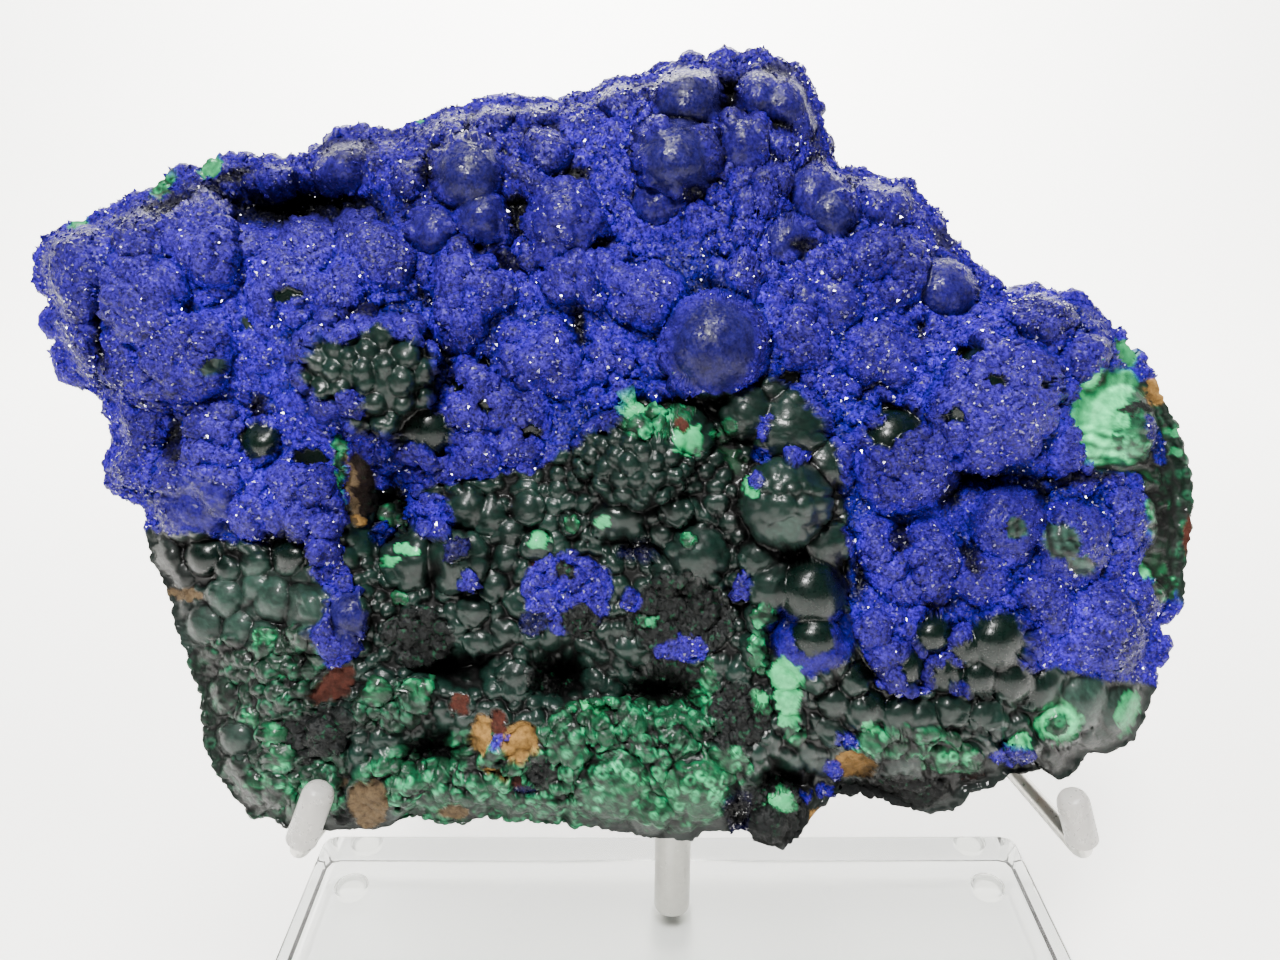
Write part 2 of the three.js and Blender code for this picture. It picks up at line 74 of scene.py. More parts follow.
# The face's outline, clockwise from the left tip: (across, up)
OUTLINE = [
    (-121.4, 45), (-120, 46.3), (-119.6, 48), (-118.5, 49.2), (-116, 50), (-112.5, 51.8), (-110.5, 52.5),
    (-106, 54.3), (-103.5, 55), (-102, 56.2), (-100, 57), (-96.5, 57.8), (-93, 60.2), (-90, 61.3),
    (-88.5, 61.5), (-86, 64), (-84.5, 64.3), (-76, 64), (-73, 63.7), (-66, 64.8), (-62, 68.3), (-57, 69.2),
    (-50, 69.2), (-46, 71.3), (-41, 73), (-39, 74.3), (-33, 75.3), (-29, 75.7), (-19, 75.7), (-10, 76.8),
    (-6, 79.5), (-4, 80.2), (3, 80.5), (5, 82), (8, 83.3), (12, 83.3), (18, 84.3), (20, 83.5), (24.5, 85.3),
    (27, 84), (31, 83), (33, 81.5), (34, 78), (36, 71.5), (38.3, 63.8), (40, 62.5), (46, 61.5), (50, 59.3),
    (54, 59.2), (57, 55.5), (58.7, 53), (61.5, 50), (65, 45), (69, 40), (73, 36), (74.7, 34.8),
    (76.5, 35.5), (78.5, 37.3), (82, 37.7), (84.5, 36.5), (90, 35.2), (93.5, 32), (98, 26.5), (102.5, 20.5),
    (107, 11), (108, 8.5), (108.3, 5.5), (109.7, 2), (110.3, -4), (109.8, -12), (108.6, -20), (108.8, -23),
    (108.4, -25.2), (105.5, -27.3), (103.9, -28.5), (104.2, -33), (102.9, -38), (103.3, -39.7),
    (101.8, -45), (100, -48.5), (98.5, -51.8), (96.5, -53.6), (93, -54.8), (89, -54.5), (88.7, -56),
    (85.2, -59.3), (83.5, -60), (80, -57.3), (78.7, -58.5), (74.5, -58.7), (71, -61.2), (66, -62.6),
    (62.5, -66), (57, -66.5), (53.5, -65), (47.5, -63.5), (43, -62.3), (40, -62.5), (36, -65.5),
    (32.5, -69), (31.5, -71), (28.5, -73.6), (24, -72), (21, -69.5), (18, -70.3), (15.5, -69.8),
    (12, -70.5), (10.5, -72.3), (5, -71.3), (0, -71), (-9, -69.3), (-13, -69), (-15.5, -67.8), (-16.5, -69),
    (-23, -67.6), (-26, -68), (-29, -67), (-36, -68.4), (-40.5, -68), (-46, -66.8), (-49.5, -68.7),
    (-53, -69.8), (-64, -70), (-71, -68.8), (-75, -66.6), (-77, -67.6), (-81, -63.5), (-85, -57.3),
    (-86, -53.5), (-86.5, -46.5), (-88, -41), (-90, -36.5), (-92.5, -30), (-93.5, -23.8), (-95, -21),
    (-97.5, -16), (-98.4, -12), (-98.8, -9.5), (-98, -8.7), (-99.3, -5.5), (-102.5, -2), (-105.5, -1),
    (-107.2, 3), (-104.5, 6.2), (-104, 7.5), (-106.3, 13.3), (-107, 15.8), (-110, 18.8), (-115, 22.5),
    (-115.8, 26.5), (-119, 32.5), (-117.3, 35), (-119.5, 38.5), (-121.3, 43),
]

# How far the rim lies out of the face, by its direction from the middle: (degrees, depth)
RIM_DEPTHS = [
    (-178, -4), (-170, -6), (-165, -4.5), (-147, -3), (-139, -2), (-132, 0), (-69, 0), (-61, -3), (-55, -5),
    (-51, -8), (-49, -8), (-39, -4), (-36, -6), (-30, -6), (-22, -4), (-15.5, -4), (-13, -7), (-9, -8),
    (1, -8), (6, -7), (16, -5), (23, -3), (65, -3), (149, -2), (160, -3),
]

# Broad swells and hollows of the face: (across, up, half-width, half-height, out of the face)
SWELLS = [
    (-98, 38, 22, 16, 5), (-88, 48, 15, 4, 4), (-68, 54.5, 14, 5, -11), (-106.5, 29, 3.5, 10, -4),
    (-57, 22, 15, 13, 5), (-49, -5, 6, 10, -9), (-34, 55, 16, 18, 3), (10, 71, 15, 13, 3),
    (18.5, 75, 3, 7, -5), (15, 27, 14, 13, 4), (70, 15, 17, 14, 5), (64, 1, 11, 3, -5),
    (88, -2.5, 13, 4, -4), (2, 3, 14, 10, 6), (29, -6, 13, 12, 5), (36, -32, 12, 11, 4),
    (-62, -16, 6, 20, 4), (-40, -53, 6, 4.5, -8), (-36, -37, 7, 4, -7), (-15, -38.5, 6, 5, -10),
    (4, -42.5, 9, 6, -9), (29, -60.5, 5, 4, -6), (52, -59, 26, 6, -5), (-88, -46, 9, 20, -2),
    (104, -2, 7, 26, -5),
]

# Hollows between the lumps, sunk into the face and painted with shade: (across, up, half-width, half-height,
# degrees turned, depth)
HOLLOWS = [
    (52, -12, 3.5, 5, 0, 3), (58, -24, 5, 2.6, -20, 2.5), (66, -16, 2.6, 5, 30, 2), (44, -19, 2, 6, 0, 2),
    (-68, 53.5, 14, 5.2, 3, 6), (-81, 60.5, 5.5, 2.2, 20, 2), (-107.5, 28, 2, 9, 8, 2.5),
    (-92.5, 7, 2.6, 7, 0, 2.5), (-76, 14.5, 3.2, 3.8, 0, 2.5), (-32.5, 46.5, 6, 2.6, 0, 3),
    (-42.5, 61.5, 2.6, 3, 0, 2), (-25, 53, 3, 6, 0, 3), (-26, 43.5, 5, 3, -20, 2),
    (-14, 61, 6, 1.5, 8, 1.5), (18, 75, 2.6, 6, 0, 2.5), (15.3, 65, 1.6, 6, 0, 2.5),
    (27, 71, 2.6, 1.8, 0, 1.5), (10.5, 58, 3.4, 2, 0, 2), (88, 1.5, 13, 2.2, 4, 2),
    (67, 1.5, 8, 2.4, 0, 2.5), (-8, 46, 4, 2.4, 0, 2), (33, 47, 5, 2, -15, 1.5), (56, 29, 2.2, 4.5, 0, 2),
    (-44, 38, 2.4, 4.5, 20, 2), (-83, 36, 4, 1.6, 30, 1.5), (-72, -11, 7, 2, 0, 1.5), (62, -3, 3, 4, 0, 2),
    (79, -2, 2.4, 5, 30, 2), (-38.5, 24, 2, 6, 20, 2), (-12, 30, 2, 6, 0, 1.5), (46, 18, 5, 2.4, 30, 2),
    (-56, 32.5, 8, 1.4, 12, 1.5), (-41, -19, 1.6, 4, 0, 2), (-38, -37, 5.5, 2.6, 10, 3),
    (-16, -39.5, 4.6, 3.6, 0, 4), (4, -42, 7, 3.4, 0, 3), (-41.5, -54, 5, 2.8, 0, 3), (28, -60, 6, 2, 0, 3),
    (0, -13.5, 5, 2.4, -10, 3), (-48, -6, 1.6, 4.6, 0, 3), (40, -18, 2, 6, 10, 2), (46, -38, 3, 3, 0, 2),
    (-66, -34, 1.8, 5, -20, 1.5), (19.5, -66, 3.4, 4.2, 0, 3),
]

# Balls of azurite: (across, up, radius, rise above the face around it, how smooth and velvety)
AZURITE_BALLS = [
    (-112.5, 42, 8, 4, 0.3), (-112, 39, 6, 4, 0.1), (-110, 28, 8, 4, 0.1), (-98, 37, 9, 5, 0.1),
    (-103, 24, 5, 3, 0), (-90, 26, 9, 6, 0), (-88, 48, 8, 5, 0), (-99, 46.5, 6, 4, 0),
    (-100, 9, 7.5, 4, 0.1), (-103, 3, 4.5, 3, 0), (-86, 1, 9, 6, 0), (-83, 10, 5, 4, 0),
    (-88.6, -5, 8, 5.5, 0.8), (-77, -5, 6, 4, 0.1), (-67, -5, 7.5, 5, 0), (-70, 38, 9, 5, 0),
    (-61, 38, 6, 5, 0), (-53, 44, 8, 5, 0), (-66, 45, 6, 4, 0), (-59.5, 63, 6, 4, 0.7),
    (-72.5, 60.5, 4, 3, 0.5), (-34.5, 61, 7.5, 7, 1), (-31.5, 53, 5.2, 4.5, 0.9),
    (-41.5, 50, 4.8, 3.5, 0.8), (-15.5, 52.5, 7, 7, 0.6), (-39, 69.5, 6, 3, 0.2), (-29, 71, 4, 3, 0.2),
    (-20, 72, 4.2, 3, 0.2), (-18, 64, 5, 4, 0.2), (-24, 59, 4, 3, 0.1), (-46, 59, 3.5, 3, 0.1),
    (-4, 75.5, 4, 3, 0.3), (9.5, 76, 7.2, 5.5, 1), (7, 64.5, 7.8, 8, 1), (3, 55.5, 4.7, 3.5, 0.8),
    (24, 77, 4.5, 3.5, 0.8), (28.5, 75, 5, 4, 0.8), (32, 71.5, 3.8, 3, 0.7), (20.5, 67.5, 5, 4.5, 0.8),
    (28, 67, 2.8, 2, 0.6), (18, 80.5, 3, 2, 0.4), (25, 60.5, 3.5, 3, 0.3), (22, 56.5, 3, 2.5, 0.3),
    (35, 57, 6.5, 5, 0.8), (38.8, 53.5, 5, 5, 1), (29.5, 48, 4.5, 4, 0.9), (48, 55, 6, 4, 0.5),
    (-36, 33, 7, 5, 0), (-35, 40, 5, 4, 0), (-29, 36, 4.5, 3.5, 0), (-33, 17, 7, 5, 0),
    (-20, 25, 8, 6, 0.1), (-24, 12.5, 5.5, 4, 0), (-12.5, 39, 5.5, 4, 0.2), (-33, 6, 4.5, 3, 0),
    (-25, 6.5, 4.5, 3, 0), (15, 27, 10.3, 10.5, 1), (2, 36.5, 7.5, 6, 0.15), (19.5, 39, 4.5, 3.5, 0.3),
    (39.5, 35, 5, 3.5, 0.5), (33, 36.5, 2.6, 2, 0.7), (32.5, 27, 5.5, 3.5, 0.1), (49, 25, 6, 4.5, 0.4),
    (61, 38, 6.2, 5, 0.9), (52, 39.5, 6, 4, 0.1), (44, 44.5, 5, 3.5, 0.2), (79, 31.5, 6, 4, 0.1),
    (91, 31, 4.5, 3, 0.5), (88, 23.5, 5, 4, 0.2), (70, 15, 12, 9, 0.05), (52.5, 4, 11, 8, 0.1),
    (73, -9, 7.5, 6, 0.5), (85.5, -13.5, 8.6, 7, 0.35), (91, -30, 9, 4.5, 0), (100, -24, 6, 3.5, 0),
    (56, -17, 8, 4.5, 0), (68, -19, 6, 4, 0.1), (47.5, -14, 6, 4, 0), (97, -9, 6, 3.5, 0),
    (81, -24, 6, 3.5, 0), (-64, -27, 6.5, 4.5, 0), (-58.5, -27, 4.6, 5.5, 0.7), (-63.5, -12, 4, 4, 0),
    (34, -34, 8, 5, 0.3),
]

# Balls of malachite: (across, up, radius, rise above the face around it)
MALACHITE_BALLS = [
    (-59, 23, 8.5, 8.5), (-52, 21, 10.5, 8), (-43, 10.5, 6.5, 5), (-76, 8, 4.4, 4.5), (0, 4.5, 9.5, 6.5),
    (-8, 6, 5, 4.5), (9, 9, 5.5, 5), (21.5, 13.5, 5.4, 6.5), (30, 10, 7.5, 8), (37, 3, 5, 5),
    (26.5, 17.5, 2.4, 3.5), (29, -4.5, 9, 10), (50.5, 8, 6, 7.5), (93, 11, 10, 2.5),
    (34.5, -22.5, 7.2, 7.5), (27, -21.5, 5.5, 6), (35, -32, 5.4, 5.5), (24, -15.5, 4, 4.5),
    (20.3, -20.5, 2.4, 3), (37.5, -13, 4.5, 5), (11.5, -14.5, 6.2, 6), (5.5, -18, 3, 3.5), (7, -6, 3, 4),
    (-4, -7, 5, 3.5), (5, -10.5, 2.6, 2.5), (-20.5, -13, 3, 3), (-13.5, -8.5, 2.3, 2.5), (-7, -9, 2.4, 2.5),
    (-36.5, -16, 6.3, 6.5), (-45, -16, 6.2, 5.5), (-50, -8, 3.4, 3), (-34.5, -5.5, 4.2, 4),
    (-30, -7, 3.6, 3), (-22.5, -5.5, 3.3, 3), (-26, -10.5, 3.4, 2.6), (-27, -15.5, 3, 2.5),
    (-29, -21, 3, 2.6), (-33, -26, 3, 3), (-27, -30.5, 2.6, 2.3), (-32, -32, 2.7, 2.3), (-25, -39, 3.2, 3),
    (-18.8, -41, 2.2, 1.5), (-9, -40, 2.6, 2), (-94, -15.5, 3.7, 3.6), (-91, -19, 3.2, 2.6),
    (-87, -15.5, 3.9, 4), (-82, -18, 3, 2.4), (-76.5, -16.5, 3.4, 2.6), (-69.5, -15, 4.2, 3),
    (-82.5, -23.5, 3.8, 3), (-76, -21.5, 3, 2), (-72.5, -24, 4.6, 3.4), (-91.3, -24.8, 2.4, 2),
    (-86.5, -28.5, 4.3, 3), (-80, -29.5, 3.6, 2.4), (-75, -31.5, 3.3, 3), (-82.5, -43, 3.8, 3.2),
    (-77.3, -47.5, 2, 1.8), (-80.5, -51.5, 4, 3.4), (-72.5, -50.5, 2.4, 2.2), (-71.8, -55, 3, 2.8),
    (-80, -57.5, 3.4, 3), (-77.5, -61.5, 4, 3.4), (-72, -61.5, 4.2, 3), (-52, -41, 3.2, 2.8),
    (-43.5, -42, 3.2, 3), (-57, -47, 3, 2.4), (-63, -51, 3, 2.4), (24.5, -27, 3.4, 3.6),
    (23, -33.5, 3, 3.2), (29, -38.7, 3.5, 4.5), (29.5, -43.5, 3.4, 4), (29.3, -47.8, 2.8, 3),
    (31, -51, 2.3, 2.4), (24.5, -43.5, 2.2, 2), (43, -39.5, 3.4, 3.4), (39, -44, 3.6, 3),
    (45, -45.5, 4, 3.4), (52, -46.5, 4, 3.4), (58.5, -31, 4, 4.6), (71.5, -32, 6.2, 6),
    (65.5, -33.5, 4, 4.4), (68, -39, 4.2, 4.2), (74.5, -39.5, 5, 4), (61, -38, 4, 3.6),
    (53, -37.5, 4.2, 3.6), (48, -35.5, 3.6, 3), (46, -30, 3.4, 3), (55.5, -47.4, 3.7, 3),
    (62, -45.5, 3.6, 2.8), (68.5, -46.5, 3.2, 2.4), (80, -41.5, 4.4, 2.4), (88, -43.5, 6, 2.6),
    (95, -45, 5, 2.4), (83.5, -48.3, 4.9, 3.4), (76, -52.5, 3, 2.4), (-5, -60, 8, 4), (12, -60, 8, 4),
    (2, -66, 5, 3), (-14, -52, 4, 3), (18, -54, 4, 3), (28, -64.5, 3.4, 3.4), (25, -69, 4, 3.4),
    (38, -49, 3, 2), (46.5, -50, 3, 2), (60, -54, 3.4, 2), (66, -54, 3, 2),
]

# The balls of malachite that are covered in beads: the ball, and its beads' radius
BEADED_DOMES = [
    ((-59, 23, 8.5, 8.5), 2.2), ((-52, 21, 10.5, 8), 2.7), ((0, 4.5, 9.5, 6.5), 2.0), ((-8, 6, 5, 4.5), 1.7),
]

# How far the look's own small balls are kept down on a ball of malachite, with two of them less smooth
CALM = 0.85
BALL_CALM = {(29, -4.5): 0.55, (34.5, -22.5): 0.6}

# Where the azurite ends and the malachite begins, from left to right: (across, up)
TIDE_LINE = [
    (-125, -12), (-100, -11), (-92, -10), (-80, -12), (-70, -13), (-60, -6), (-56, 0), (-50, 0), (-44, -3),
    (-34, 1), (-26, 1), (-18, 4), (-8, 9), (0, 15), (8, 17), (20, 18.5), (27, 19.5), (32, 17), (36, 12),
    (39, 4), (40.5, -10), (42.5, -27), (45.5, -40), (50, -43), (55, -42), (60, -40), (66, -36), (71, -33),
    (78, -37), (86, -38), (92, -40), (103, -41), (112, -41),
]

# The split ball at the right edge
FAN_CENTRE = (96.5, 12.0)
FAN_RADIUS = 10.8

# What each look is: mineral, colour, lumps, balls, grain, gloss, how much its balls differ in tone.
# In paint's sheet the first three columns are the minerals' shares and the rest follow in this order.
AZURITE, MALACHITE, ORE = range(3)
COLOUR = slice(3, 6)
LUMPS, BALLS, GRAIN, GLOSS, LIVELY = range(6, 11)
LOOKS = {
    "royal": (AZURITE, (0.0300, 0.0003, 0.400), 1.0, 0.0, 1.0, 0.3, 0),
    "velvet": (AZURITE, (0.010, 0.007, 0.072), 0.1, 0.0, 0.12, 0.9, 0),
    "lilac": (AZURITE, (0.0150, 0.0100, 0.082), 0.4, 0.0, 0.4, 0.4, 0),
    "navy": (AZURITE, (0.0010, 0.0008, 0.030), 0.7, 0.0, 0.8, 0.3, 0),
    "bottle green": (MALACHITE, (0.0012, 0.0066, 0.0046), 0.0, 0.0, 0.0, 1.0, 0),
    "berries": (MALACHITE, (0.0034, 0.0130, 0.0094), 0.0, 1.0, 0.0, 0.8, 0.15),
    "grey green": (MALACHITE, (0.011, 0.032, 0.023), 0.1, 0.3, 0.0, 0.45, 0.3),
    "spherules": (MALACHITE, (0.0070, 0.1100, 0.0440), 0.5, 1.0, 0.4, 0.5, 1.0),
    "dim spherules": (MALACHITE, (0.0050, 0.0420, 0.0200), 0.6, 0.8, 0.7, 0.6, 0.9),
    "banded green": (MALACHITE, (0.0070, 0.0750, 0.0330), 0.7, 0.2, 0.4, 0.4, 0.3),
    "smooth royal": (AZURITE, (0.0110, 0.0012, 0.150), 0.1, 0.0, 0.35, 0.6, 0),
    "dark brown": (ORE, (0.0120, 0.0055, 0.0035), 0.5, 0.0, 0.5, 0.2, 0),
    "bright green": (MALACHITE, (0.006, 0.160, 0.058), 0.4, 0.7, 0.4, 0.4, 0.8),
    "mint": (MALACHITE, (0.032, 0.520, 0.180), 0.1, 0.0, 0.15, 0.4, 0),
    "black": (ORE, (0.0050, 0.0062, 0.0062), 0.7, 0.0, 2.2, 0.8, 0),
    "ochre": (ORE, (0.280, 0.150, 0.040), 0.6, 0.0, 0.6, 0.1, 0),
    "tan": (ORE, (0.120, 0.080, 0.042), 0.6, 0.0, 0.6, 0.1, 0),
    "rust": (ORE, (0.060, 0.015, 0.009), 0.6, 0.0, 0.5, 0.1, 0),
}

# Patches of other looks, painted in this order: a look, and (across, up, half-width, half-height, and the
# degrees turned, if any) for each of its patches
PATCHES = [
    ("berries", (-51, 20, 10.5, 11.5)),
    ("bottle green", (-43, 9, 6, 6), (-76, 8, 4, 4), (-70, 37, 3, 1.6), (-66, 4.5, 4, 2.2),
    (-36, 19, 2.2, 1.6), (-31, 23, 2, 1.4), (-31, 15, 1.8, 1.4), (-22, 9.5, 2, 1.4), (50.5, 10.5, 6, 5),
    (66, 25, 3.6, 1.6), (71, 20, 1.8, 1.4), (80, 19, 1.8, 1.4), (63, 13, 1.8, 1.4), (30, 20.5, 2.5, 1.6)),
    ("berries", (-59, 22, 8.5, 8), (-1, 3, 10.5, 8), (-16, 0, 10, 4.5, 10), (8, -1, 8, 6)),
    ("royal", (-57, 31, 7, 2.8, 20), (-58, 15.5, 3.5, 2), (-46, 4, 5, 4), (-49, 30, 5, 1.5, -30),
    (53, 7, 3.5, 1.5, 30), (47, 12, 2.2, 1.5)),
    ("grey green", (-85.5, 23, 2.6, 2.2), (-78, 31.5, 2, 1.5), (84, -12, 3, 4.5, 30), (88, -17, 2.5, 2),
    (75, -10, 2.2, 2)),
    ("bright green", (-60, 6, 1.6, 2.6, 10)), ("dark brown", (-56.3, -1, 2.8, 6.5, 6)),
    ("tan", (-58.2, -1.5, 0.9, 6.5, 10)), ("ochre", (-56.4, -8, 1.6, 0.8, -30)),
    ("bright green", (-60.6, 0, 0.9, 6.5, 4), (2.5, 11.5, 6, 3.6, 10)),
    ("lilac", (61, 48, 3, 2, -40), (-58, 66, 6, 2.4)), ("mint", (0, 14, 3.4, 1.6, 20)),
    ("bright green", (6, 13.5, 5, 2)),
    ("mint", (9, 8.5, 3, 3.6), (15.5, 7.5, 1.4, 2.8, 30), (19, 3, 1.5, 3.6, 30), (22.5, -1.5, 1.4, 2.6, 20)),
    ("rust", (8.2, 11.5, 1.4, 1.2)), ("bright green", (17, 10, 3, 1.6, 40)),
    ("royal", (24, 5, 2, 1.8), (31, 4.8, 2.1, 1.9), (25.5, 10, 1.6, 2.6), (24, -1, 1, 1.6)),
    ("banded green", (109, 0, 9.6, 26, 3)), ("mint", (94.6, 12, 9.4, 10.8)),
    ("banded green", (102, 10, 4.5, 11, 8)), ("mint", (97.2, 25.6, 3.2, 2.6, -40)),
    ("ochre", (103.2, 18, 2.6, 3, 20)), ("black", (99.5, 14.3, 4.2, 1.1, -5)),
    ("royal", (102.7, 7.8, 1.6, 5, 15), (-63.5, -11, 3.2, 9.5), (-62, -27, 6.5, 11)),
    ("mint", (105.9, 10, 1.6, 1.1), (106.8, 5.8, 1.5, 1.3)), ("bright green", (98, 7, 3, 4.5, 30)),
    ("mint", (99.6, 2.4, 4.2, 1.3, -38), (102, -17, 3, 3.4, -30), (-49.5, -16, 1.6, 1.2)),
    ("bright green", (102.5, -6, 3.2, 3), (104.5, -21.5, 2.4, 3)), ("rust", (109.6, -11, 0.9, 4.4)),
    ("velvet", (-58.5, -27, 4.4, 4.2)), ("grey green", (-74, -24, 12, 8)),
    ("bottle green", (-90, -17, 7.5, 4.5), (-70, -14.5, 5, 3.5)), ("tan", (-91, -22.5, 4.5, 1.2, -10)),
    ("grey green", (-85, -30, 8, 5)),
    ("dim spherules", (-83, -43, 10, 12), (-70, -38, 9, 9), (-72, -58, 14, 12)),
    ("black", (-66, -50, 9, 4.5, 10)),
    ("bright green", (-70.5, -38.5, 1.6, 1.2), (-75, -31, 2.4, 2), (-77.3, -47.5, 1.6, 1.5),
    (-72.5, -50.5, 1.8, 1.6), (-71.6, -55, 2.4, 2.2), (-76.5, -60.5, 2.8, 1.8)),
    ("grey green", (-80, -52, 4, 4), (29, -10, 4, 2.4, 20), (89, -44.5, 8, 5)),
    ("dim spherules", (-50, -45, 8, 5, 10)), ("black", (-44, -31, 7, 5), (-47.5, -6, 2, 5)),
    ("royal", (-41.5, -7.5, 4.8, 4.6), (-52.5, -11.5, 2, 1.6), (-34.5, -19, 1.4, 1.4)),
    ("mint", (-46.5, -14, 2, 1.2)),
    ("bright green", (-50, -7, 2, 2), (-13.5, -8.5, 1.6, 1.5), (-48, -23.5, 1.8, 1.4),
    (-43.5, -41.5, 2.2, 1.8), (-52, -41, 1.8, 1.6)),
    ("navy", (-37, -14.5, 1.8, 1.6)), ("berries", (-29, -24, 4, 10)), ("royal", (-14.5, -22.5, 9, 8)),
    ("black", (-15, -18, 3, 2.2), (-12.5, -28, 4, 3), (8, -27, 11, 8)), ("navy", (-21, -28, 3, 2.5)),
    ("mint", (-20.5, -12.5, 2.1, 1.9), (-7, -8.6, 1.6, 1.4)),
    ("rust", (-21.3, -17, 1, 1), (-61, -41, 5.5, 2.8, 40), (-36.3, -44.5, 1.9, 1.3)),
    ("royal", (8.5, -33.5, 5.5, 2.4), (-1.5, -23.5, 1.5, 2.6), (20.3, -20.5, 1.7, 1.6)),
    ("navy", (0, -14, 4.5, 2.6)), ("bright green", (1.5, -28, 1.8, 1.3)), ("black", (6, -41, 8, 6)),
    ("bright green", (13.5, -41, 1.6, 6), (9.5, -12.2, 1.5, 1.2)), ("black", (20, -47, 6, 7)),
    ("smooth royal", (34.5, -31, 9, 8)), ("bottle green", (34.5, -22.5, 8, 6.5), (34.7, -31, 4.6, 4.2)),
    ("bright green", (24.5, -27, 2.6, 2.2), (23.5, -34, 1.8, 4.2)),
    ("mint", (29, -38.8, 3.2, 3), (29.5, -43.6, 3, 2.8), (29.5, -47.6, 2.1, 2), (24.5, -43.5, 1.6, 1.6)),
    ("bright green", (31, -51, 2.2, 2)), ("spherules", (-24, -60, 33, 11), (-2, -50, 18, 7)),
    ("bright green", (6, -63, 12, 7), (-10, -46, 4.5, 1.6), (17, -57, 5, 4)), ("mint", (-9, -45.4, 3.4, 0.9)),
    ("black", (-41, -54, 5, 3.4)), ("ochre", (-31.5, -50, 2.4, 4.6, 10)),
    ("rust", (-28.3, -48, 1.4, 2.6, 10)), ("ochre", (-24, -51.5, 4, 3.6, 30), (-29, -57.8, 2.8, 0.9, -20)),
    ("royal", (-28, -52, 1.1, 1.6)), ("rust", (-24.5, -59.5, 1.5, 1.2), (-13.5, -62, 1.2, 1)),
    ("black", (-20, -57.5, 3, 3.4)), ("navy", (-23, -61.5, 2, 1.4)),
    ("tan", (-37.5, -66, 3.4, 1.6), (-54, -64.5, 4.2, 5.2, -12), (-58.8, -60, 1.2, 1.2)),
    ("black", (-59.5, -66, 1.9, 3), (-18, -39, 5, 4)), ("spherules", (-42, -60, 8, 5), (-66, -63, 7, 5)),
    ("berries", (46, -46, 14, 4.5)), ("bright green", (62, -55.5, 7, 3)), ("spherules", (52, -52, 12, 3)),
    ("ochre", (42.5, -56.5, 4.8, 2.6, -12)), ("royal", (38.5, -57.5, 2, 2), (41.5, -51.5, 2.4, 1.6)),
    ("mint", (46.5, -49.5, 2, 0.9), (83.5, -48.2, 4.8, 4.5), (76, -52.5, 2.6, 2.2),
    (97.3, -47, 1.8, 4.6, -18)),
    ("bright green", (83.5, -49.2, 2.6, 2.3), (-95.3, 58.4, 3.4, 1.3, 35)), ("royal", (74.5, -55, 4.5, 2)),
    ("rust", (66, -59, 2.4, 1.2)), ("grey green", (93, -49, 3, 3.6)),
    ("black", (50, -62.5, 12, 3.4), (27, -66, 7, 7.5)),
    ("mint", (28, -64.3, 2.2, 2), (-112, 51.3, 2.2, 0.9, 25), (-86, 62.4, 2.6, 1.7, 35),
    (-44.5, 71.8, 1, 0.6)),
    ("royal", (32.5, -63, 1.6, 1.2), (37, -62, 2, 1.1)), ("ochre", (35, -66.5, 1.8, 0.9, 40)),
    ("navy", (19.5, -66, 3, 4.4)),
    ("bottle green", (58.7, -31, 4.2, 4.2), (72, -31.5, 6, 5.4), (65.5, -34, 3, 2.4), (68.5, -40, 4.4, 3.6),
    (76, -40, 5, 4.6), (55, -37.5, 3, 3.4), (61, -38.7, 2.8, 2.4), (48, -44, 4, 2.6), (44, -38, 3, 3)),
    ("royal", (79, -36, 3.4, 2.4), (56, -34, 1.6, 1.3), (64, -41.5, 1.8, 1.2)),
    ("lilac", (-95, 55.5, 5, 1.2, 20), (28, 82, 4, 1.6)),
]

# Growth bands round a centre: (across, up, how far out, from one band to the next, contrast)
BANDS = [
    (96.5, 12, 12, 3.1, 0.22), (84, -48.2, 5.2, 2.3, 0.5), (29, -38.8, 4, 1.9, 0.15),
    (29.5, -43.6, 3.6, 1.8, 0.15), (76, -52.5, 2.8, 1.7, 0.5), (97.3, -40, 13, 1.5, 0.12),
    (90, -10, 22, 2.2, 0.7), (-95, 70, 16, 1.4, 0.4),
]


def scatter(x, y, z, seed):
    """A number from 0 to 1 for each whole-number place, multiplied and folded until it looks random."""
    n = (x * 374761393 + y * 668265263 + z * 1440662683 + seed * 974634777) & 0xFFFFFFFF
    n = ((n ^ (n >> 13)) * 1274126177) & 0xFFFFFFFF
    n = ((n ^ (n >> 15)) * 668265263) & 0xFFFFFFFF
    return ((n ^ (n >> 16)) & 0xFFFFFF) / 0xFFFFFF


def smooth_noise(points, size, seed):
    """Random numbers from -1 to 1 at the corners of cubes of that size, and 3t^2 - 2t^3 between them."""
    place = points / size
    corner = np.floor(place).astype(np.int64)
    t = place - corner
    t = t * t * (3 - 2 * t)
    total = np.zeros(len(points))
    for step in np.ndindex(2, 2, 2):
        share = np.prod(np.where(step, t, 1 - t), axis=1)
        total += share * scatter(*(corner + step).T, seed)
    return total * 2 - 1


def noises(points, *layers):
    """Layers of smooth noise added up, each given as (strength, size, seed)."""
    return sum(strength * smooth_noise(points, size, seed) for strength, size, seed in layers)


def highest(balls):
    """Out of balls given as (random number, radius, square of the distance), one of each for every point: the
    height of the highest one over it, sqrt(r^2 - d^2), and that ball's random number."""
    best = mark = 0.0
    for own, radius, away in balls:
        height = np.sqrt(np.maximum(radius ** 2 - away, 0))
        mark = np.where(height > best, own, mark)
        best = np.maximum(height, best)
    return best, mark


def ball_field(points, size, seed):
    """Balls strewn one to each cube of that size: highest() of those in the cubes around, in cubes."""
    place = points / size
    corner = np.floor(place).astype(np.int64)

    def balls():
        for step in np.ndindex(3, 3, 3):
            cube = corner + step - 1
            own = scatter(*cube.T, seed + 3)
            away = sum((place[:, k] - cube[:, k] - scatter(*cube.T, seed + k)) ** 2 for k in range(3))
            yield own, 0.5 + 0.3 * own, away

    return highest(balls())


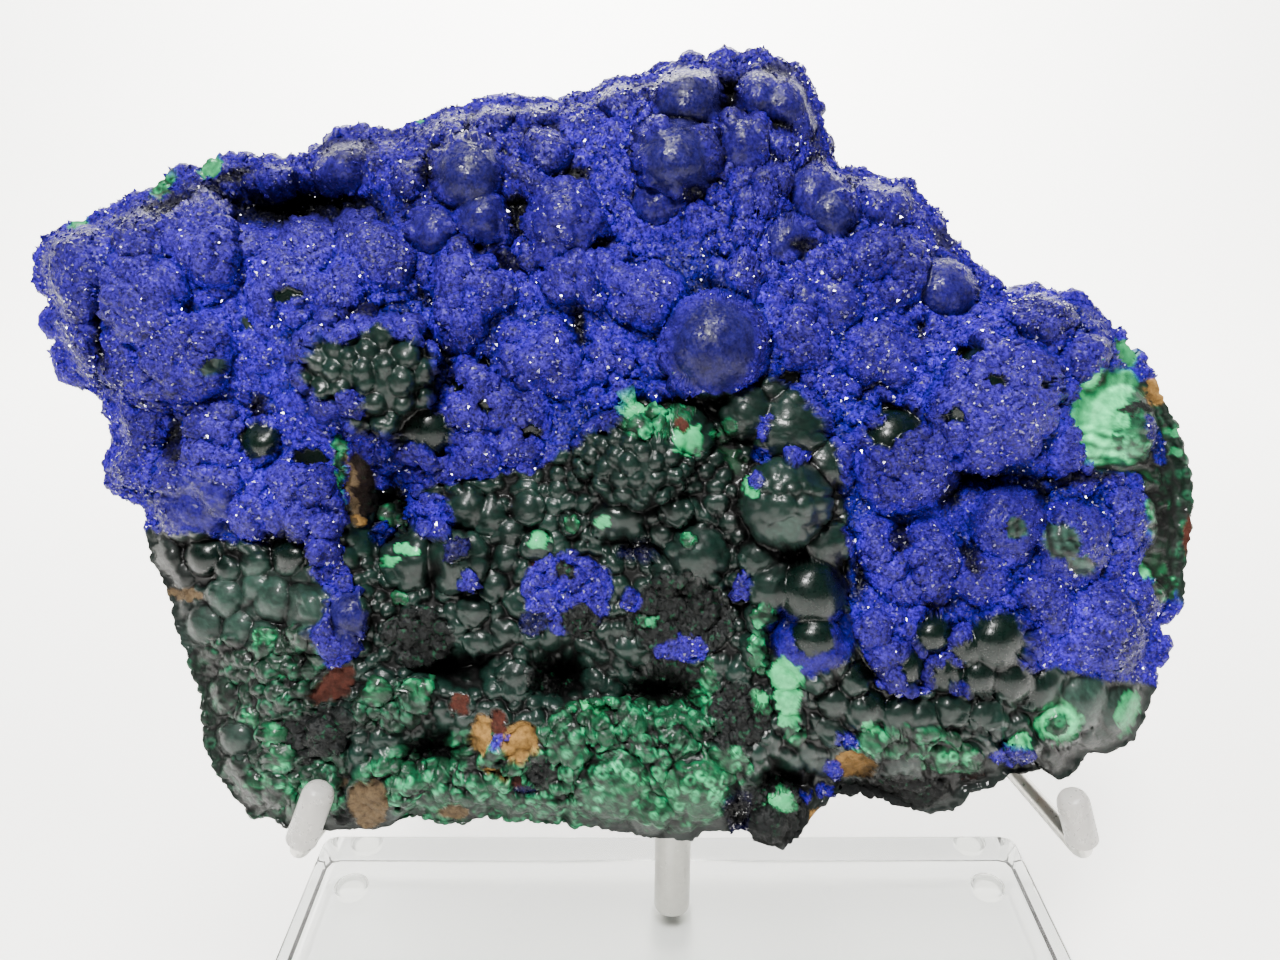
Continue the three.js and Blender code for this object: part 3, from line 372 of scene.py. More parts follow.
def bead_field(across, up, size, seed):
    """Beads packed over the face, one to each square of that size, every other row half a square along:
    highest() of those in the squares around, in squares."""
    across, up = across / size, up / size

    def beads():
        for dy, dx in np.ndindex(3, 3):
            y = np.floor(up).astype(np.int64) + dy - 1
            slid = across - 0.5 * (y % 2)
            x = np.floor(slid).astype(np.int64) + dx - 1
            own = scatter(x, y, x - y, seed + 3)
            away = (slid - x - 0.2 - 0.6 * scatter(x, y, x + y, seed)) ** 2
            yield own, 0.44 + 0.3 * own, away + (up - y - 0.2 - 0.6 * scatter(x, y, x + y, seed + 1)) ** 2

    return highest(beads())


def smooth_step(low, high, value):
    """3t^2 - 2t^3, t being the share of the way from low to high, held between 0 and 1."""
    t = np.clip((value - low) / (high - low), 0, 1)
    return t * t * (3 - 2 * t)


def to_frame(across, out, up):
    """The face's frame leans back by LEAN about the X axis through FACE_CENTRE."""
    x = FACE_CENTRE[0] + across
    y = FACE_CENTRE[1] - out * np.cos(LEAN) + up * np.sin(LEAN)
    z = FACE_CENTRE[2] + out * np.sin(LEAN) + up * np.cos(LEAN)
    return np.stack([x, y, z], axis=-1)


def even_steps(corners, count):
    """A closed outline stepped off into equal lengths."""
    corners = np.concatenate([corners, corners[:1]])
    walked = np.concatenate([[0], np.cumsum(np.hypot(*np.diff(corners, axis=0).T))])
    stops = np.linspace(0, walked[-1], count, endpoint=False)
    return np.stack([np.interp(stops, walked, corners[:, k]) for k in (0, 1)], axis=-1)


def even_outline(count):
    """The slab's outline in even steps, with a ragged edge of up to about half a millimetre."""
    rim = even_steps(np.array(OUTLINE, float), count)
    flat = np.column_stack([rim, np.zeros(count)])
    ragged = noises(flat, (0.35, 1.6, 5), (0.25, 0.8, 6))
    return rim * (1 + ragged / np.hypot(*rim.T))[:, None]


RIM = even_outline(RIM_STEPS)
RIM_ANGLES = np.arctan2(RIM[:, 1], RIM[:, 0])
RIM_ORDER = np.argsort(RIM_ANGLES)


def rim_depth(angle):
    """How far the rim lies out of the face in each direction, by straight lines between RIM_DEPTHS."""
    degrees, depths = np.array(RIM_DEPTHS, float).T
    return np.interp(np.degrees(angle), degrees, depths, period=360)


def face_height(across, up):
    """The rim's depth * s^4 + PILLOW (1 - s^8) + each swell's bell, s being the share of the way there."""
    angle = np.arctan2(up, across)
    reach = np.interp(angle, RIM_ANGLES[RIM_ORDER], np.hypot(*RIM[RIM_ORDER].T), period=2 * np.pi)
    share = np.minimum(np.hypot(across, up) / reach, 1)
    height = rim_depth(angle) * share ** 4 + PILLOW * (1 - share ** 8)
    for x, y, half_width, half_height, rise in SWELLS:
        height = height + rise * np.exp(-((across - x) / half_width) ** 2 - ((up - y) / half_height) ** 2)
    return height


def in_ellipse(across, up, x, y, half_width, half_height, turn=0):
    """(x/a)^2 + (y/b)^2 along an ellipse's own axes, turned by that many degrees: below 1 inside it."""
    cos, sin = np.cos(np.radians(turn)), np.sin(np.radians(turn))
    dx, dy = across - x, up - y
    return ((dx * cos + dy * sin) / half_width) ** 2 + ((dy * cos - dx * sin) / half_height) ** 2


def hollow_depth_and_shade(across, up):
    """For each point, the depth of the hollows there and how much painted shade they get: bells e^-((x/a)^2 +
    (y/b)^2).
    """
    depth, dark = np.zeros_like(across), np.zeros_like(across)
    for *ellipse, deep in HOLLOWS:
        bell = np.exp(-in_ellipse(across, up, *ellipse))
        depth += deep * bell
        dark = np.maximum(dark, bell)
    return depth, dark


def close_to(across, up, place, reach):
    """The numbers of the points in the square that goes so far out from a place."""
    return np.flatnonzero((np.abs(across - place[0]) < reach) & (np.abs(up - place[1]) < reach))


def raise_balls(height, across, up, balls, blend):
    """Each ball lifts the face to h + sqrt(r^2 - d^2), its middle h set so that its top has the stated rise.
    Where ball and face differ by less than blend, the crease between them is filled a little."""
    places = np.array([ball[:4] for ball in balls], float)
    middles = face_height(places[:, 0], places[:, 1]) + places[:, 3] - places[:, 2]
    for (x, y, radius, _), middle in zip(places, middles):
        near = close_to(across, up, (x, y), radius)
        inside = radius ** 2 - (across[near] - x) ** 2 - (up[near] - y) ** 2
        near = near[inside > 0]
        ball = middle + np.sqrt(inside[inside > 0])
        apart = np.abs(height[near] - ball)
        fill = np.maximum(blend - apart, 0) ** 2 / (4 * blend)
        height[near] = np.maximum(height[near], ball) + fill
    return height


def beads_on(dome, bead):
    """Small balls packed over the near side of a large one: equal shares of the cap's height, each turned on
    by the golden angle, so that every bead has the same room."""
    x, y, radius, rise = dome
    reach = 0.68  # the cap's height as a share of the radius
    count = int(2 * np.pi * radius ** 2 * reach / (3.1 * bead ** 2))
    step = np.arange(count) + 0.5
    depth = 1 - reach * step / count
    around = np.pi * (3 - np.sqrt(5)) * step
    side = radius * np.sqrt(1 - depth ** 2)
    own = scatter(np.arange(count), np.full(count, int(x)), np.full(count, int(y)), 58)
    across, up = x + side * np.cos(around), y + side * np.sin(around)
    middle = face_height(np.array([float(x)]), np.array([float(y)])) + rise - radius + radius * depth
    size = bead * (0.85 + 0.35 * own)
    return np.column_stack([across, up, size, middle + 0.75 * size - face_height(across, up)])


def face_grid():
    """A grid of squares drawn out to the outline: each point of the unit square goes to its ring's share of
    the rim. Returns (across, up, share of the way to the rim, quads, the rim's point numbers)."""
    x, y = np.meshgrid(np.linspace(-1, 1, FACE_COLUMNS + 1), np.linspace(1, -1, FACE_ROWS + 1))
    x, y = x.ravel(), y.ravel()
    share = np.maximum(np.abs(x), np.abs(y))
    right = np.divide(x, share, out=np.zeros_like(x), where=share > 0)
    top = np.divide(y, share, out=np.zeros_like(y), where=share > 0)
    on_top, on_right, on_bottom = top > 1 - 1e-9, right > 1 - 1e-9, top < -1 + 1e-9
    along = 2 * FACE_COLUMNS + FACE_ROWS + (top + 1) / 2 * FACE_ROWS
    along = np.where(on_bottom, FACE_COLUMNS + FACE_ROWS + (1 - right) / 2 * FACE_COLUMNS, along)
    along = np.where(on_right, FACE_COLUMNS + (1 - top) / 2 * FACE_ROWS, along)
    along = np.where(on_top, (right + 1) / 2 * FACE_COLUMNS, along)
    steps = np.arange(RIM_STEPS)
    across = np.interp(along, steps, RIM[:, 0], period=RIM_STEPS) * share
    up = np.interp(along, steps, RIM[:, 1], period=RIM_STEPS) * share
    corner = np.arange((FACE_ROWS + 1) * (FACE_COLUMNS + 1)).reshape(FACE_ROWS + 1, FACE_COLUMNS + 1)
    quads = np.stack([corner[:-1, :-1], corner[1:, :-1], corner[1:, 1:], corner[:-1, 1:]], axis=-1)
    ring = np.concatenate([corner[0, :-1], corner[:-1, -1], corner[-1, :0:-1], corner[:0:-1, 0]])
    return across, up, share, quads.reshape(-1, 4), ring


def side_point(depth, inset):
    """The slab's side that far behind the face's plane: straight back from the rim, pulled in by inset. Low
    on the slab, it slopes up behind the rim, by UNDERSIDE_SLOPE once it is UNDERSIDE[1] below the centre."""
    edge = rim_depth(RIM_ANGLES)
    shrink = (EYE_DISTANCE - edge) / EYE_DISTANCE
    size = np.hypot(*RIM.T) * shrink - inset
    across, up = size * np.cos(RIM_ANGLES), size * np.sin(RIM_ANGLES)
    low = np.clip((UNDERSIDE[0] - RIM[:, 1]) / (UNDERSIDE[0] - UNDERSIDE[1]), 0, 1)
    return across, up + low * UNDERSIDE_SLOPE * (depth + edge), -depth * np.ones_like(across)


def band_quads(rows):
    """The quads between neighbouring rows of point numbers, each row closed on itself."""
    ahead = np.roll(rows, -1, axis=1)
    return np.stack([rows[:-1], ahead[:-1], ahead[1:], rows[1:]], axis=-1).reshape(-1, 4)


def vertex_normals(points, quads):
    """Each face's normal, the cross product of its diagonals, added up at its corners and made unit long."""
    a, b, c, d = (points[quads[:, k]] for k in range(4))
    face = np.cross(c - a, d - b)
    total = np.zeros_like(points)
    for k in range(4):
        for axis in range(3):
            total[:, axis] += np.bincount(quads[:, k], face[:, axis], len(points))
    return total / np.maximum(np.linalg.norm(total, axis=1, keepdims=True), 1e-12)


def over_ball(across, up, ball):
    """The points over a ball, and how far each is from its middle, its radius being 1."""
    near = close_to(across, up, ball, ball[2])
    return near, np.hypot(across[near] - ball[0], up[near] - ball[1]) / ball[2]


def lay(sheet, near, share, row):
    """Goes that share of the way from what is on the sheet to a look's row."""
    share = share[:, None]
    sheet[near] = sheet[near] * (1 - share) + share * row


def paint(across, up, points):
    """Lays the looks over the face: azurite above the tide line, malachite below it, then each patch where
    1 - (x/a)^2 - (y/b)^2 is above nought, with all the edges pushed about by noise."""
    push = noises(points, (1.3, 4.0, 21), (0.7, 1.5, 22))
    lift = noises(points, (1.3, 4.0, 23), (0.7, 1.5, 24))
    x, y = across + push, up + lift
    ragged_x = across + noises(points, (0.8, 1.1, 25)) + 0.5 * push
    ragged_y = up + noises(points, (0.8, 1.1, 26)) + 0.5 * lift
    tide = np.interp(x, *np.array(TIDE_LINE, float).T)
    blue = smooth_step(-0.5, 0.5, y - tide)[:, None]
    rows = {name: np.array([*(np.arange(3) == look[0]), *look[1], *look[2:]], float)
            for name, look in LOOKS.items()}
    sheet = blue * rows["royal"] + (1 - blue) * rows["berries"]
    for ball in AZURITE_BALLS:
        near, away = over_ball(x, y, ball)
        lay(sheet, near, ball[4] * smooth_step(1.0, 0.75, away) * sheet[near, AZURITE], rows["velvet"])
    for name, *places in PATCHES:
        for place in places:
            near = close_to(x, y, place, 1.2 * max(place[2:4]))
            inside = 1 - in_ellipse(ragged_x[near], ragged_y[near], *place)
            lay(sheet, near, smooth_step(-0.05, 0.2, inside), rows[name])
    for ball in MALACHITE_BALLS:
        near, away = over_ball(across, up, ball)
        sheet[near, BALLS] *= 1 - BALL_CALM.get(ball[:2], CALM) * smooth_step(1.0, 0.7, away)
    for x, y, reach, step, contrast in BANDS:
        away, angle = np.hypot(across - x, up - y), np.arctan2(up - y, across - x)
        fibres = smooth_noise(np.column_stack([9 * angle, 0.3 * away, 0 * away]), 0.7, 27)
        wave = np.sin(2 * np.pi * (away + 0.5 * push) / step) + 0.8 * fibres
        share = contrast * sheet[:, MALACHITE] * smooth_step(reach, reach * 0.85, away)
        sheet[:, COLOUR] *= (1 + share * wave)[:, None]
    return sheet


def keep_borders_simple(quads, label, count):
    """Where two patches of a mineral meet at a single corner, the faces round it take one label,
    so that every patch's edge is a plain loop."""
    for _ in range(8):
        touched = np.zeros(count, bool)
        for mineral in (AZURITE, MALACHITE, ORE):
            start, end = open_edges(quads[label == mineral], count)
            touched |= np.bincount(start, minlength=count) > 1
        faces = touched[quads].any(axis=1)
        if not faces.any():
            break
        first = np.full(count, 9)
        for k in range(4):
            np.minimum.at(first, quads[faces, k], label[faces])
        corner = np.argmax(touched[quads[faces]], axis=1)
        label[faces] = first[quads[faces, corner]]
    return label


def open_edges(quads, count):
    """The directed edges that no neighbouring face runs the other way."""
    start = quads.ravel()
    end = np.roll(quads, -1, axis=1).ravel()
    lone = ~np.isin(start * count + end, end * count + start)
    return start[lone], end[lone]


def loop_labels(count, start, end):
    """The lowest point number of the loop that each point lies on, passed along the edges till it settles."""
    label = np.arange(count)
    while True:
        low = np.minimum(label[start], label[end])
        new = label.copy()
        np.minimum.at(new, start, low)
        np.minimum.at(new, end, low)
        new = new[new]
        if np.array_equal(new, label):
            return label
        label = new


def closed_patch(points, deep, quads):
    """An open patch of the sheet made a closed body: a curtain hangs from each edge to the deep place below
    it, and each curtain's foot is gathered to the middle of its loop.
    Returns (vertices, quads, triangles, number of each vertex in the sheet)."""
    used, local = np.unique(quads, return_inverse=True)
    local = local.reshape(quads.shape)
    start, end = open_edges(local, len(used))
    border = np.unique(start)
    foot = np.full(len(used), -1)
    foot[border] = len(used) + np.arange(len(border))
    a, b = foot[start], foot[end]
    curtain = np.stack([end, start, a, b], axis=-1)
    label = loop_labels(len(border), a - len(used), b - len(used))
    loops, member = np.unique(label, return_inverse=True)
    feet = deep[used[border]]
    size = np.bincount(member)
    middles = np.stack([np.bincount(member, feet[:, k]) / size for k in range(3)], axis=-1)
    middle = len(used) + len(border) + member[a - len(used)]
    floor = np.stack([b, a, middle], axis=-1)
    vertices = np.concatenate([points[used], feet, middles])
    source = np.concatenate([used, used[border], used[border[np.unique(member, return_index=True)[1]]]])
    return vertices, np.concatenate([local, curtain]), floor, source


def new_mesh(name, vertices, quads, triangles=None, normals=None, flat=False):
    """Puts the arrays into a mesh, in metres."""
    triangles = np.zeros((0, 3), int) if triangles is None else triangles
    mesh = bpy.data.meshes.new(name)
    mesh.vertices.add(len(vertices))
    mesh.vertices.foreach_set("co", (vertices * MM).astype(np.float32).ravel())
    corners = np.concatenate([quads.ravel(), triangles.ravel()])
    mesh.loops.add(len(corners))
    mesh.loops.foreach_set("vertex_index", corners.astype(np.int32))
    starts = np.concatenate([np.arange(len(quads)) * 4, len(quads) * 4 + np.arange(len(triangles)) * 3])
    mesh.polygons.add(len(starts))
    mesh.polygons.foreach_set("loop_start", starts.astype(np.int32))
    mesh.polygons.foreach_set("use_smooth", np.full(len(starts), not flat))
    mesh.update(calc_edges=True)
    if normals is not None:
        mesh.normals_split_custom_set_from_vertices(normals.astype(np.float32).tolist())
    return mesh


def add_piece(mesh, material, slot, *nodes):
    """Shows a mesh as a piece of the object that stands for the named nodes."""
    piece = bpy.data.objects.new(mesh.name, mesh)
    bpy.context.scene.collection.objects.link(piece)
    mesh.materials.append(material)
    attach(piece, "root")
    if nodes:
        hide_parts(*nodes)
    return piece


def store(mesh, name, values):
    """Keeps a colour or a number for each vertex, for the materials to read."""
    if values.ndim == 1:
        mesh.attributes.new(name, "FLOAT", "POINT").data.foreach_set("value", values.astype(np.float32))
    else:
        rgba = np.column_stack([values, np.ones(len(values))]).astype(np.float32)
        mesh.attributes.new(name, "FLOAT_COLOR", "POINT").data.foreach_set("color", rgba.ravel())


class Nodes:
    """A material's node tree, built by short calls. A value is a number, a colour or a node's output."""

    def __init__(self, name):
        self.material = bpy.data.materials.new(name)
        self.material.use_nodes = True
        self.tree = self.material.node_tree
        self.place = self.add("ShaderNodeTexCoord").outputs["Object"]

    def add(self, kind, **settings):
        node = self.tree.nodes.new(kind)
        for name, value in settings.items():
            setattr(node, name, value)
        return node

    def put(self, socket, value):
        if isinstance(value, bpy.types.NodeSocket):
            self.tree.links.new(value, socket)
        else:
            socket.default_value = value

    def surface(self, **values):
        """Sets the shader's own inputs, such as Base_Color."""
        for name, value in values.items():
            self.put(self.tree.nodes["Principled BSDF"].inputs[name.replace("_", " ")], value)

    def fed(self, kind, values, **settings):
        node = self.add(kind, **settings)
        for socket, value in zip(node.inputs, values):
            self.put(socket, value)
        return node.outputs[0]

    def math(self, operation, a, b, clamp=False):
        return self.fed("ShaderNodeMath", (a, b), operation=operation, use_clamp=clamp)

    def times(self, a, b):
        return self.math("MULTIPLY", a, b)

    def between(self, value, low, high, new_low, new_high):
        """Straight from new_low at low to new_high at high, and level beyond them."""
        return self.fed("ShaderNodeMapRange", (value, low, high, new_low, new_high))

    def vector(self, operation, *values):
        return self.fed("ShaderNodeVectorMath", values, operation=operation)

    def scaled(self, colour, amount):
        node = self.add("ShaderNodeVectorMath", operation="SCALE")
        self.put(node.inputs[0], colour)
        self.put(node.inputs["Scale"], amount)
        return node.outputs[0]

    def mix(self, share, a, b):
        node = self.add("ShaderNodeMix", data_type="RGBA")
        for socket, value in zip((node.inputs["Factor"], *node.inputs[6:8]), (share, a, b)):
            self.put(socket, value)
        return node.outputs[2]

    def attribute(self, name, output="Fac"):
        return self.add("ShaderNodeAttribute", attribute_name=name).outputs[output]

    def texture(self, kind, size_mm, **values):
        node = self.add(kind)
        for name, value in dict(Vector=self.place, Scale=1 / (size_mm * MM), **values).items():
            self.put(node.inputs[name], value)
        return node

    def noise(self, size_mm, detail=3.0, roughness=0.6):
        return self.texture("ShaderNodeTexNoise", size_mm, Detail=detail, Roughness=roughness).outputs["Fac"]

    def cells(self, size_mm, output="Color"):
        return self.texture("ShaderNodeTexVoronoi", size_mm).outputs[output]

    def tilted_facets(self, size_mm, amount):
        """Tilts the normal a different way in each small cell, as the faces of tiny crystals lie."""
        tilt = self.scaled(self.vector("SUBTRACT", self.cells(size_mm), (0.5, 0.5, 0.5)), amount)
        normal = self.add("ShaderNodeNewGeometry").outputs["Normal"]
        return self.vector("NORMALIZE", self.vector("ADD", normal, tilt))

    def bump(self, height, distance_mm, strength=1.0, normal=None):
        node = self.add("ShaderNodeBump")
        self.put(node.inputs["Height"], height)
        self.put(node.inputs["Distance"], distance_mm * MM)
        self.put(node.inputs["Strength"], strength)
        if normal is not None:
            self.put(node.inputs["Normal"], normal)
        return node.outputs["Normal"]


def azurite_crust_material():
    """Deep blue, every small crystal facing its own way: rough between, brighter on the facets."""
    n = Nodes("azurite crust")
    grain, gloss = n.attribute("grain"), n.attribute("gloss")
    low, high = n.between(grain, 0.0, 1.0, 0.8, 0.25), n.between(grain, 0.0, 1.0, 1.2, 1.8)
    shade = n.times(n.between(n.noise(2.2), 0.3, 0.7, 0.5, 1.5),
                    n.between(n.noise(0.6, 3.0, 0.7), 0.38, 0.62, low, high))
    rough = n.between(n.cells(0.45), 0.0, 1.0, 0.20, 0.80)
    n.surface(Base_Color=n.scaled(n.attribute("tint", "Color"), shade),
              Roughness=n.math("SUBTRACT", rough, n.between(gloss, 0.3, 0.9, 0.0, 0.18), clamp=True),
              Normal=n.tilted_facets(0.5, n.between(grain, 0.0, 1.0, 0.15, 0.8)),
              IOR=1.5, Specular_IOR_Level=0.15)
    return n.material


def malachite_crust_material():
    """Bottle green to mint, waxy where it is smooth. Where it has grain, cups with pale rings are packed over
    it: a bump and a tone by the distance to the nearest cell's middle."""
    n = Nodes("malachite crust")
    away = n.cells(2.7, "Distance")
    from_ring = n.math("ABSOLUTE", n.math("SUBTRACT", away, 0.30), 0.0)
    cupped = n.between(n.attribute("grain"), 0.12, 0.4, 0.0, 1.0)
    ring = n.times(cupped, n.between(from_ring, 0.0, 0.22, 0.75, -0.7))
    shade = n.times(n.between(n.noise(1.4), 0.3, 0.7, 0.72, 1.3), n.math("ADD", ring, 1.0))
    rough = n.between(n.attribute("gloss"), 0.0, 1.0, 0.70, 0.29)
    cups = n.bump(n.times(cupped, n.math("SUBTRACT", 1.0, away)), 0.7)
    n.surface(Base_Color=n.scaled(n.attribute("tint", "Color"), shade),
              Roughness=n.math("ADD", rough, n.between(n.noise(0.8), 0.3, 0.7, -0.07, 0.1)),
              Normal=n.bump(n.noise(0.5, 4.0), 0.06, normal=cups),
              IOR=1.5, Specular_IOR_Level=0.21, Coat_Weight=0.20, Coat_Roughness=0.12)
    return n.material


def ore_material():
    """Dull broken ore: blackened crust, limonite and iron stain, gritty all over, with specks of green."""
    n = Nodes("ore matrix")
    gloss = n.attribute("gloss")
    stone = n.scaled(n.attribute("tint", "Color"), n.between(n.noise(1.1, 5.0, 0.7), 0.3, 0.7, 0.5, 1.5))
    speck = n.times(n.between(n.noise(1.3, 2.0), 0.60, 0.66, 0.0, 0.8), gloss)
    facets = n.tilted_facets(0.6, n.between(gloss, 0.0, 1.0, 0.1, 0.9))
    n.surface(Base_Color=n.mix(speck, stone, (0.006, 0.060, 0.026, 1)),
              Roughness=n.between(gloss, 0.0, 1.0, 0.9, 0.34),
              Normal=n.bump(n.noise(0.7, 5.0, 0.7), 0.25, normal=facets), Specular_IOR_Level=0.18)
    return n.material


def averaged(grid, cells):
    """Each place's mean over a square that goes so many cells each way, taken three times over: running sums
    along rows and columns, and the difference of two of them."""
    for _ in range(3):
        for axis in (0, 1):
            ends = [(cells + 1, cells) if k == axis else (0, 0) for k in (0, 1)]
            total = np.cumsum(np.pad(grid, ends, mode="edge"), axis=axis)
            high = np.take(total, np.arange(2 * cells + 1, total.shape[axis]), axis=axis)
            low = np.take(total, np.arange(total.shape[axis] - 2 * cells - 1), axis=axis)
            grid = (high - low) / (2 * cells + 1)
    return grid


def standing_out(points):
    """How far each point of the face stands out from the surface averaged close round it, and far round it:
    below nought in the hollows."""
    count = (FACE_ROWS + 1) * (FACE_COLUMNS + 1)
    height = ((points[:count] - FACE_CENTRE) @ OUT_OF_FACE).reshape(FACE_ROWS + 1, FACE_COLUMNS + 1)
    result = np.zeros((2, len(points)))
    for row, cells in zip(result, (4, 14)):
        row[:count] = (height - averaged(height, cells)).ravel()
    return result


def fan_look(across, up):
    """The split ball at the right edge: how far a point belongs to it, and its tone there. Fibres run out
    from its centre, as noise of the angle round it, and a pale line with a dark one inside it, both bells
    e^-(x/a)^2 of the distance, follow its rim."""
    x, y = across - FAN_CENTRE[0], up - FAN_CENTRE[1]
    radius, angle = np.hypot(x, y), np.arctan2(y, x)
    beyond = radius - FAN_RADIUS
    inside = smooth_step(0.3, -0.3, beyond) * smooth_step(5.0, 1.0, x)
    fibres = smooth_noise(np.column_stack([np.cos(angle) * 12, np.sin(angle) * 12, 0.12 * radius]), 1.0, 57)
    rings = np.exp(-((beyond + 0.7) / 0.35) ** 2) - 0.8 * np.exp(-((beyond + 1.8) / 0.5) ** 2)
    return inside, 1.3 + 0.45 * fibres + 0.6 * rings - 0.35 * smooth_step(6.0, 2.0, radius)


def bare_crust():
    """The crust as one sheet, still plain: the face's grid, with its balls raised and its hollows sunk along
    the lines of sight, and the rows that wrap round its edge. Returns (across, up and share of the way to the
    rim as seen, the place across, out and up in the slab, quads). On the wrap, share runs from 1 to 2."""
    across, up, share, quads, ring = face_grid()
    flat = np.column_stack([across, up, np.zeros_like(up)])
    bend_x = noises(flat, (0.9, 7.0, 31), (0.4, 3.0, 32))
    bend_y = noises(flat, (0.9, 7.0, 33), (0.4, 3.0, 34))
    smooth = [ball for ball in AZURITE_BALLS if ball[4] >= 0.5]
    rough = [ball for ball in AZURITE_BALLS if ball[4] < 0.5]
    beads = [(beads_on(dome, bead), 0.15, 0.12) for dome, bead in BEADED_DOMES]
    height = face_height(across, up)
    for balls, bend, blend in [(rough, 2.0, 3.0), (smooth, 0.3, 0.7), (MALACHITE_BALLS, 0.3, 0.4), *beads]:
        height = raise_balls(height, across + bend * bend_x, up + bend * bend_y, balls, blend)
    height = height - hollow_depth_and_shade(across + bend_x, up + bend_y)[0]
    edge = rim_depth(np.arctan2(up, across))
    height = edge + (height - edge) * smooth_step(1.0, 0.965, share)
    shrink = (EYE_DISTANCE - height) / EYE_DISTANCE
    way = np.arange(1, WRAP_ROWS + 1)
    wraps = [side_point(-rim_depth(RIM_ANGLES) + depth, inset)
             for depth, inset in zip(WRAP_DEPTH * way / WRAP_ROWS, WRAP_INSETS)]
    x, z, out = (np.concatenate([own, *behind])
                 for own, behind in zip((across * shrink, up * shrink, height), zip(*wraps)))
    rows = len(across) + np.arange(WRAP_ROWS)[:, None] * RIM_STEPS + np.arange(RIM_STEPS)
    quads = np.concatenate([quads, band_quads(np.concatenate([ring[None, :], rows]))])
    across = np.concatenate([across, np.tile(RIM[:, 0], WRAP_ROWS)])
    up = np.concatenate([up, np.tile(RIM[:, 1], WRAP_ROWS)])
    share = np.concatenate([share, np.repeat(1 + way / WRAP_ROWS, RIM_STEPS)])
    return across, up, share, x, out, z, quads


def crust_colour(points, across, up, share, sheet, beads):
    """The crust's colour: each look's own, varied from bead to bead, with painted shade between the beads,
    the tops of the lumps turned lilac as dust and painted sheen, dim near the rim, and painted shade by
    degrees in the hollows and recesses. Returns it and the lightness that the painted shade between the beads
    leaves."""
    balls, berry, mark, bead = beads
    lively = sheet[:, LIVELY]
    rims = np.exp(-((berry - 0.3) / 0.14) ** 2)
    tone = (1 - lively) * (0.75 + 0.5 * mark * balls) + lively * (0.1 + 1.1 * mark ** 2 + rims)
    colour = sheet[:, COLOUR] * (tone + 0.12 * smooth_noise(points, 9.0, 71))[:, None]
    # Painted shade between the beads, darkest where a bead is lowest, and between the small ones on lively
    # looks.
    gap_shade = 1 - 0.85 * np.clip(balls, 0, 1) * smooth_step(0.45, 0.1, berry)
    gap_shade = gap_shade * (1 - 0.7 * lively * smooth_step(0.4, 0.1, bead))
    fan, fan_tone = fan_look(across, up)
    light = gap_shade * (1 + 0.7 * lively * np.exp(-((bead - 0.45) / 0.1) ** 2)) * (1 + fan * (fan_tone - 1))
    light = light * (1 - 0.5 * sheet[:, MALACHITE] * (1 - fan) * smooth_step(0.88, 0.98, share))
    colour = colour * light[:, None]
    narrow, wide = standing_out(points)
    blue = sheet[:, AZURITE] * sheet[:, GRAIN]
    # The tops of the lumps on grainy azurite are painted towards lilac, as dust and as painted sheen where
    # they stand out.
    dust_and_sheen = blue * smooth_step(-0.2, 1.0, narrow + 0.25 * wide) * (0.8 + 0.2 * smooth_noise(points, 9.0, 72))
    colour = colour + (np.array(LOOKS["lilac"][1]) - colour) * (0.75 * dust_and_sheen)[:, None]
    dim = smooth_step(-0.6, 0.9, noises(points, (1, 24.0, 75), (0.5, 8.0, 76)))
    light = (1 - 0.25 * blue * smooth_step(38, 72, up)) * (
        1 - 0.45 * blue * np.maximum(dim, smooth_step(0.86, 0.97, share)))
    # Painted shade in the listed hollows, less of it where a point stands out of the surface close round it.
    dark = hollow_depth_and_shade(across + noises(points, (0.6, 2.0, 73)), up + noises(points, (0.6, 2.0, 74)))[1]
    light = light * (1 - 0.93 * smooth_step(0.25, 0.8, dark) * (1 - 0.7 * smooth_step(0.5, 2.0, narrow)))
    # Painted shade in the recesses below the surface averaged close round and far round; azurite keeps more
    # of its blue in it low on the face, and it fades out at the rim.
    kept_blue = np.array([-0.15, -0.1, -0.4]) * smooth_step(75, 20, up)[:, None]
    recess_shade = (0.9 + sheet[:, AZURITE, None] * kept_blue) * smooth_step(1.0, 0.94, share)[:, None]
    for sunk, low, high in ((-narrow, 0.05, 1.4), (-wide, 0.3, 3.6)):
        colour = colour * (1 - recess_shade * smooth_step(low, high, sunk)[:, None])
    return np.clip(colour * light[:, None], 0, 1), gap_shade


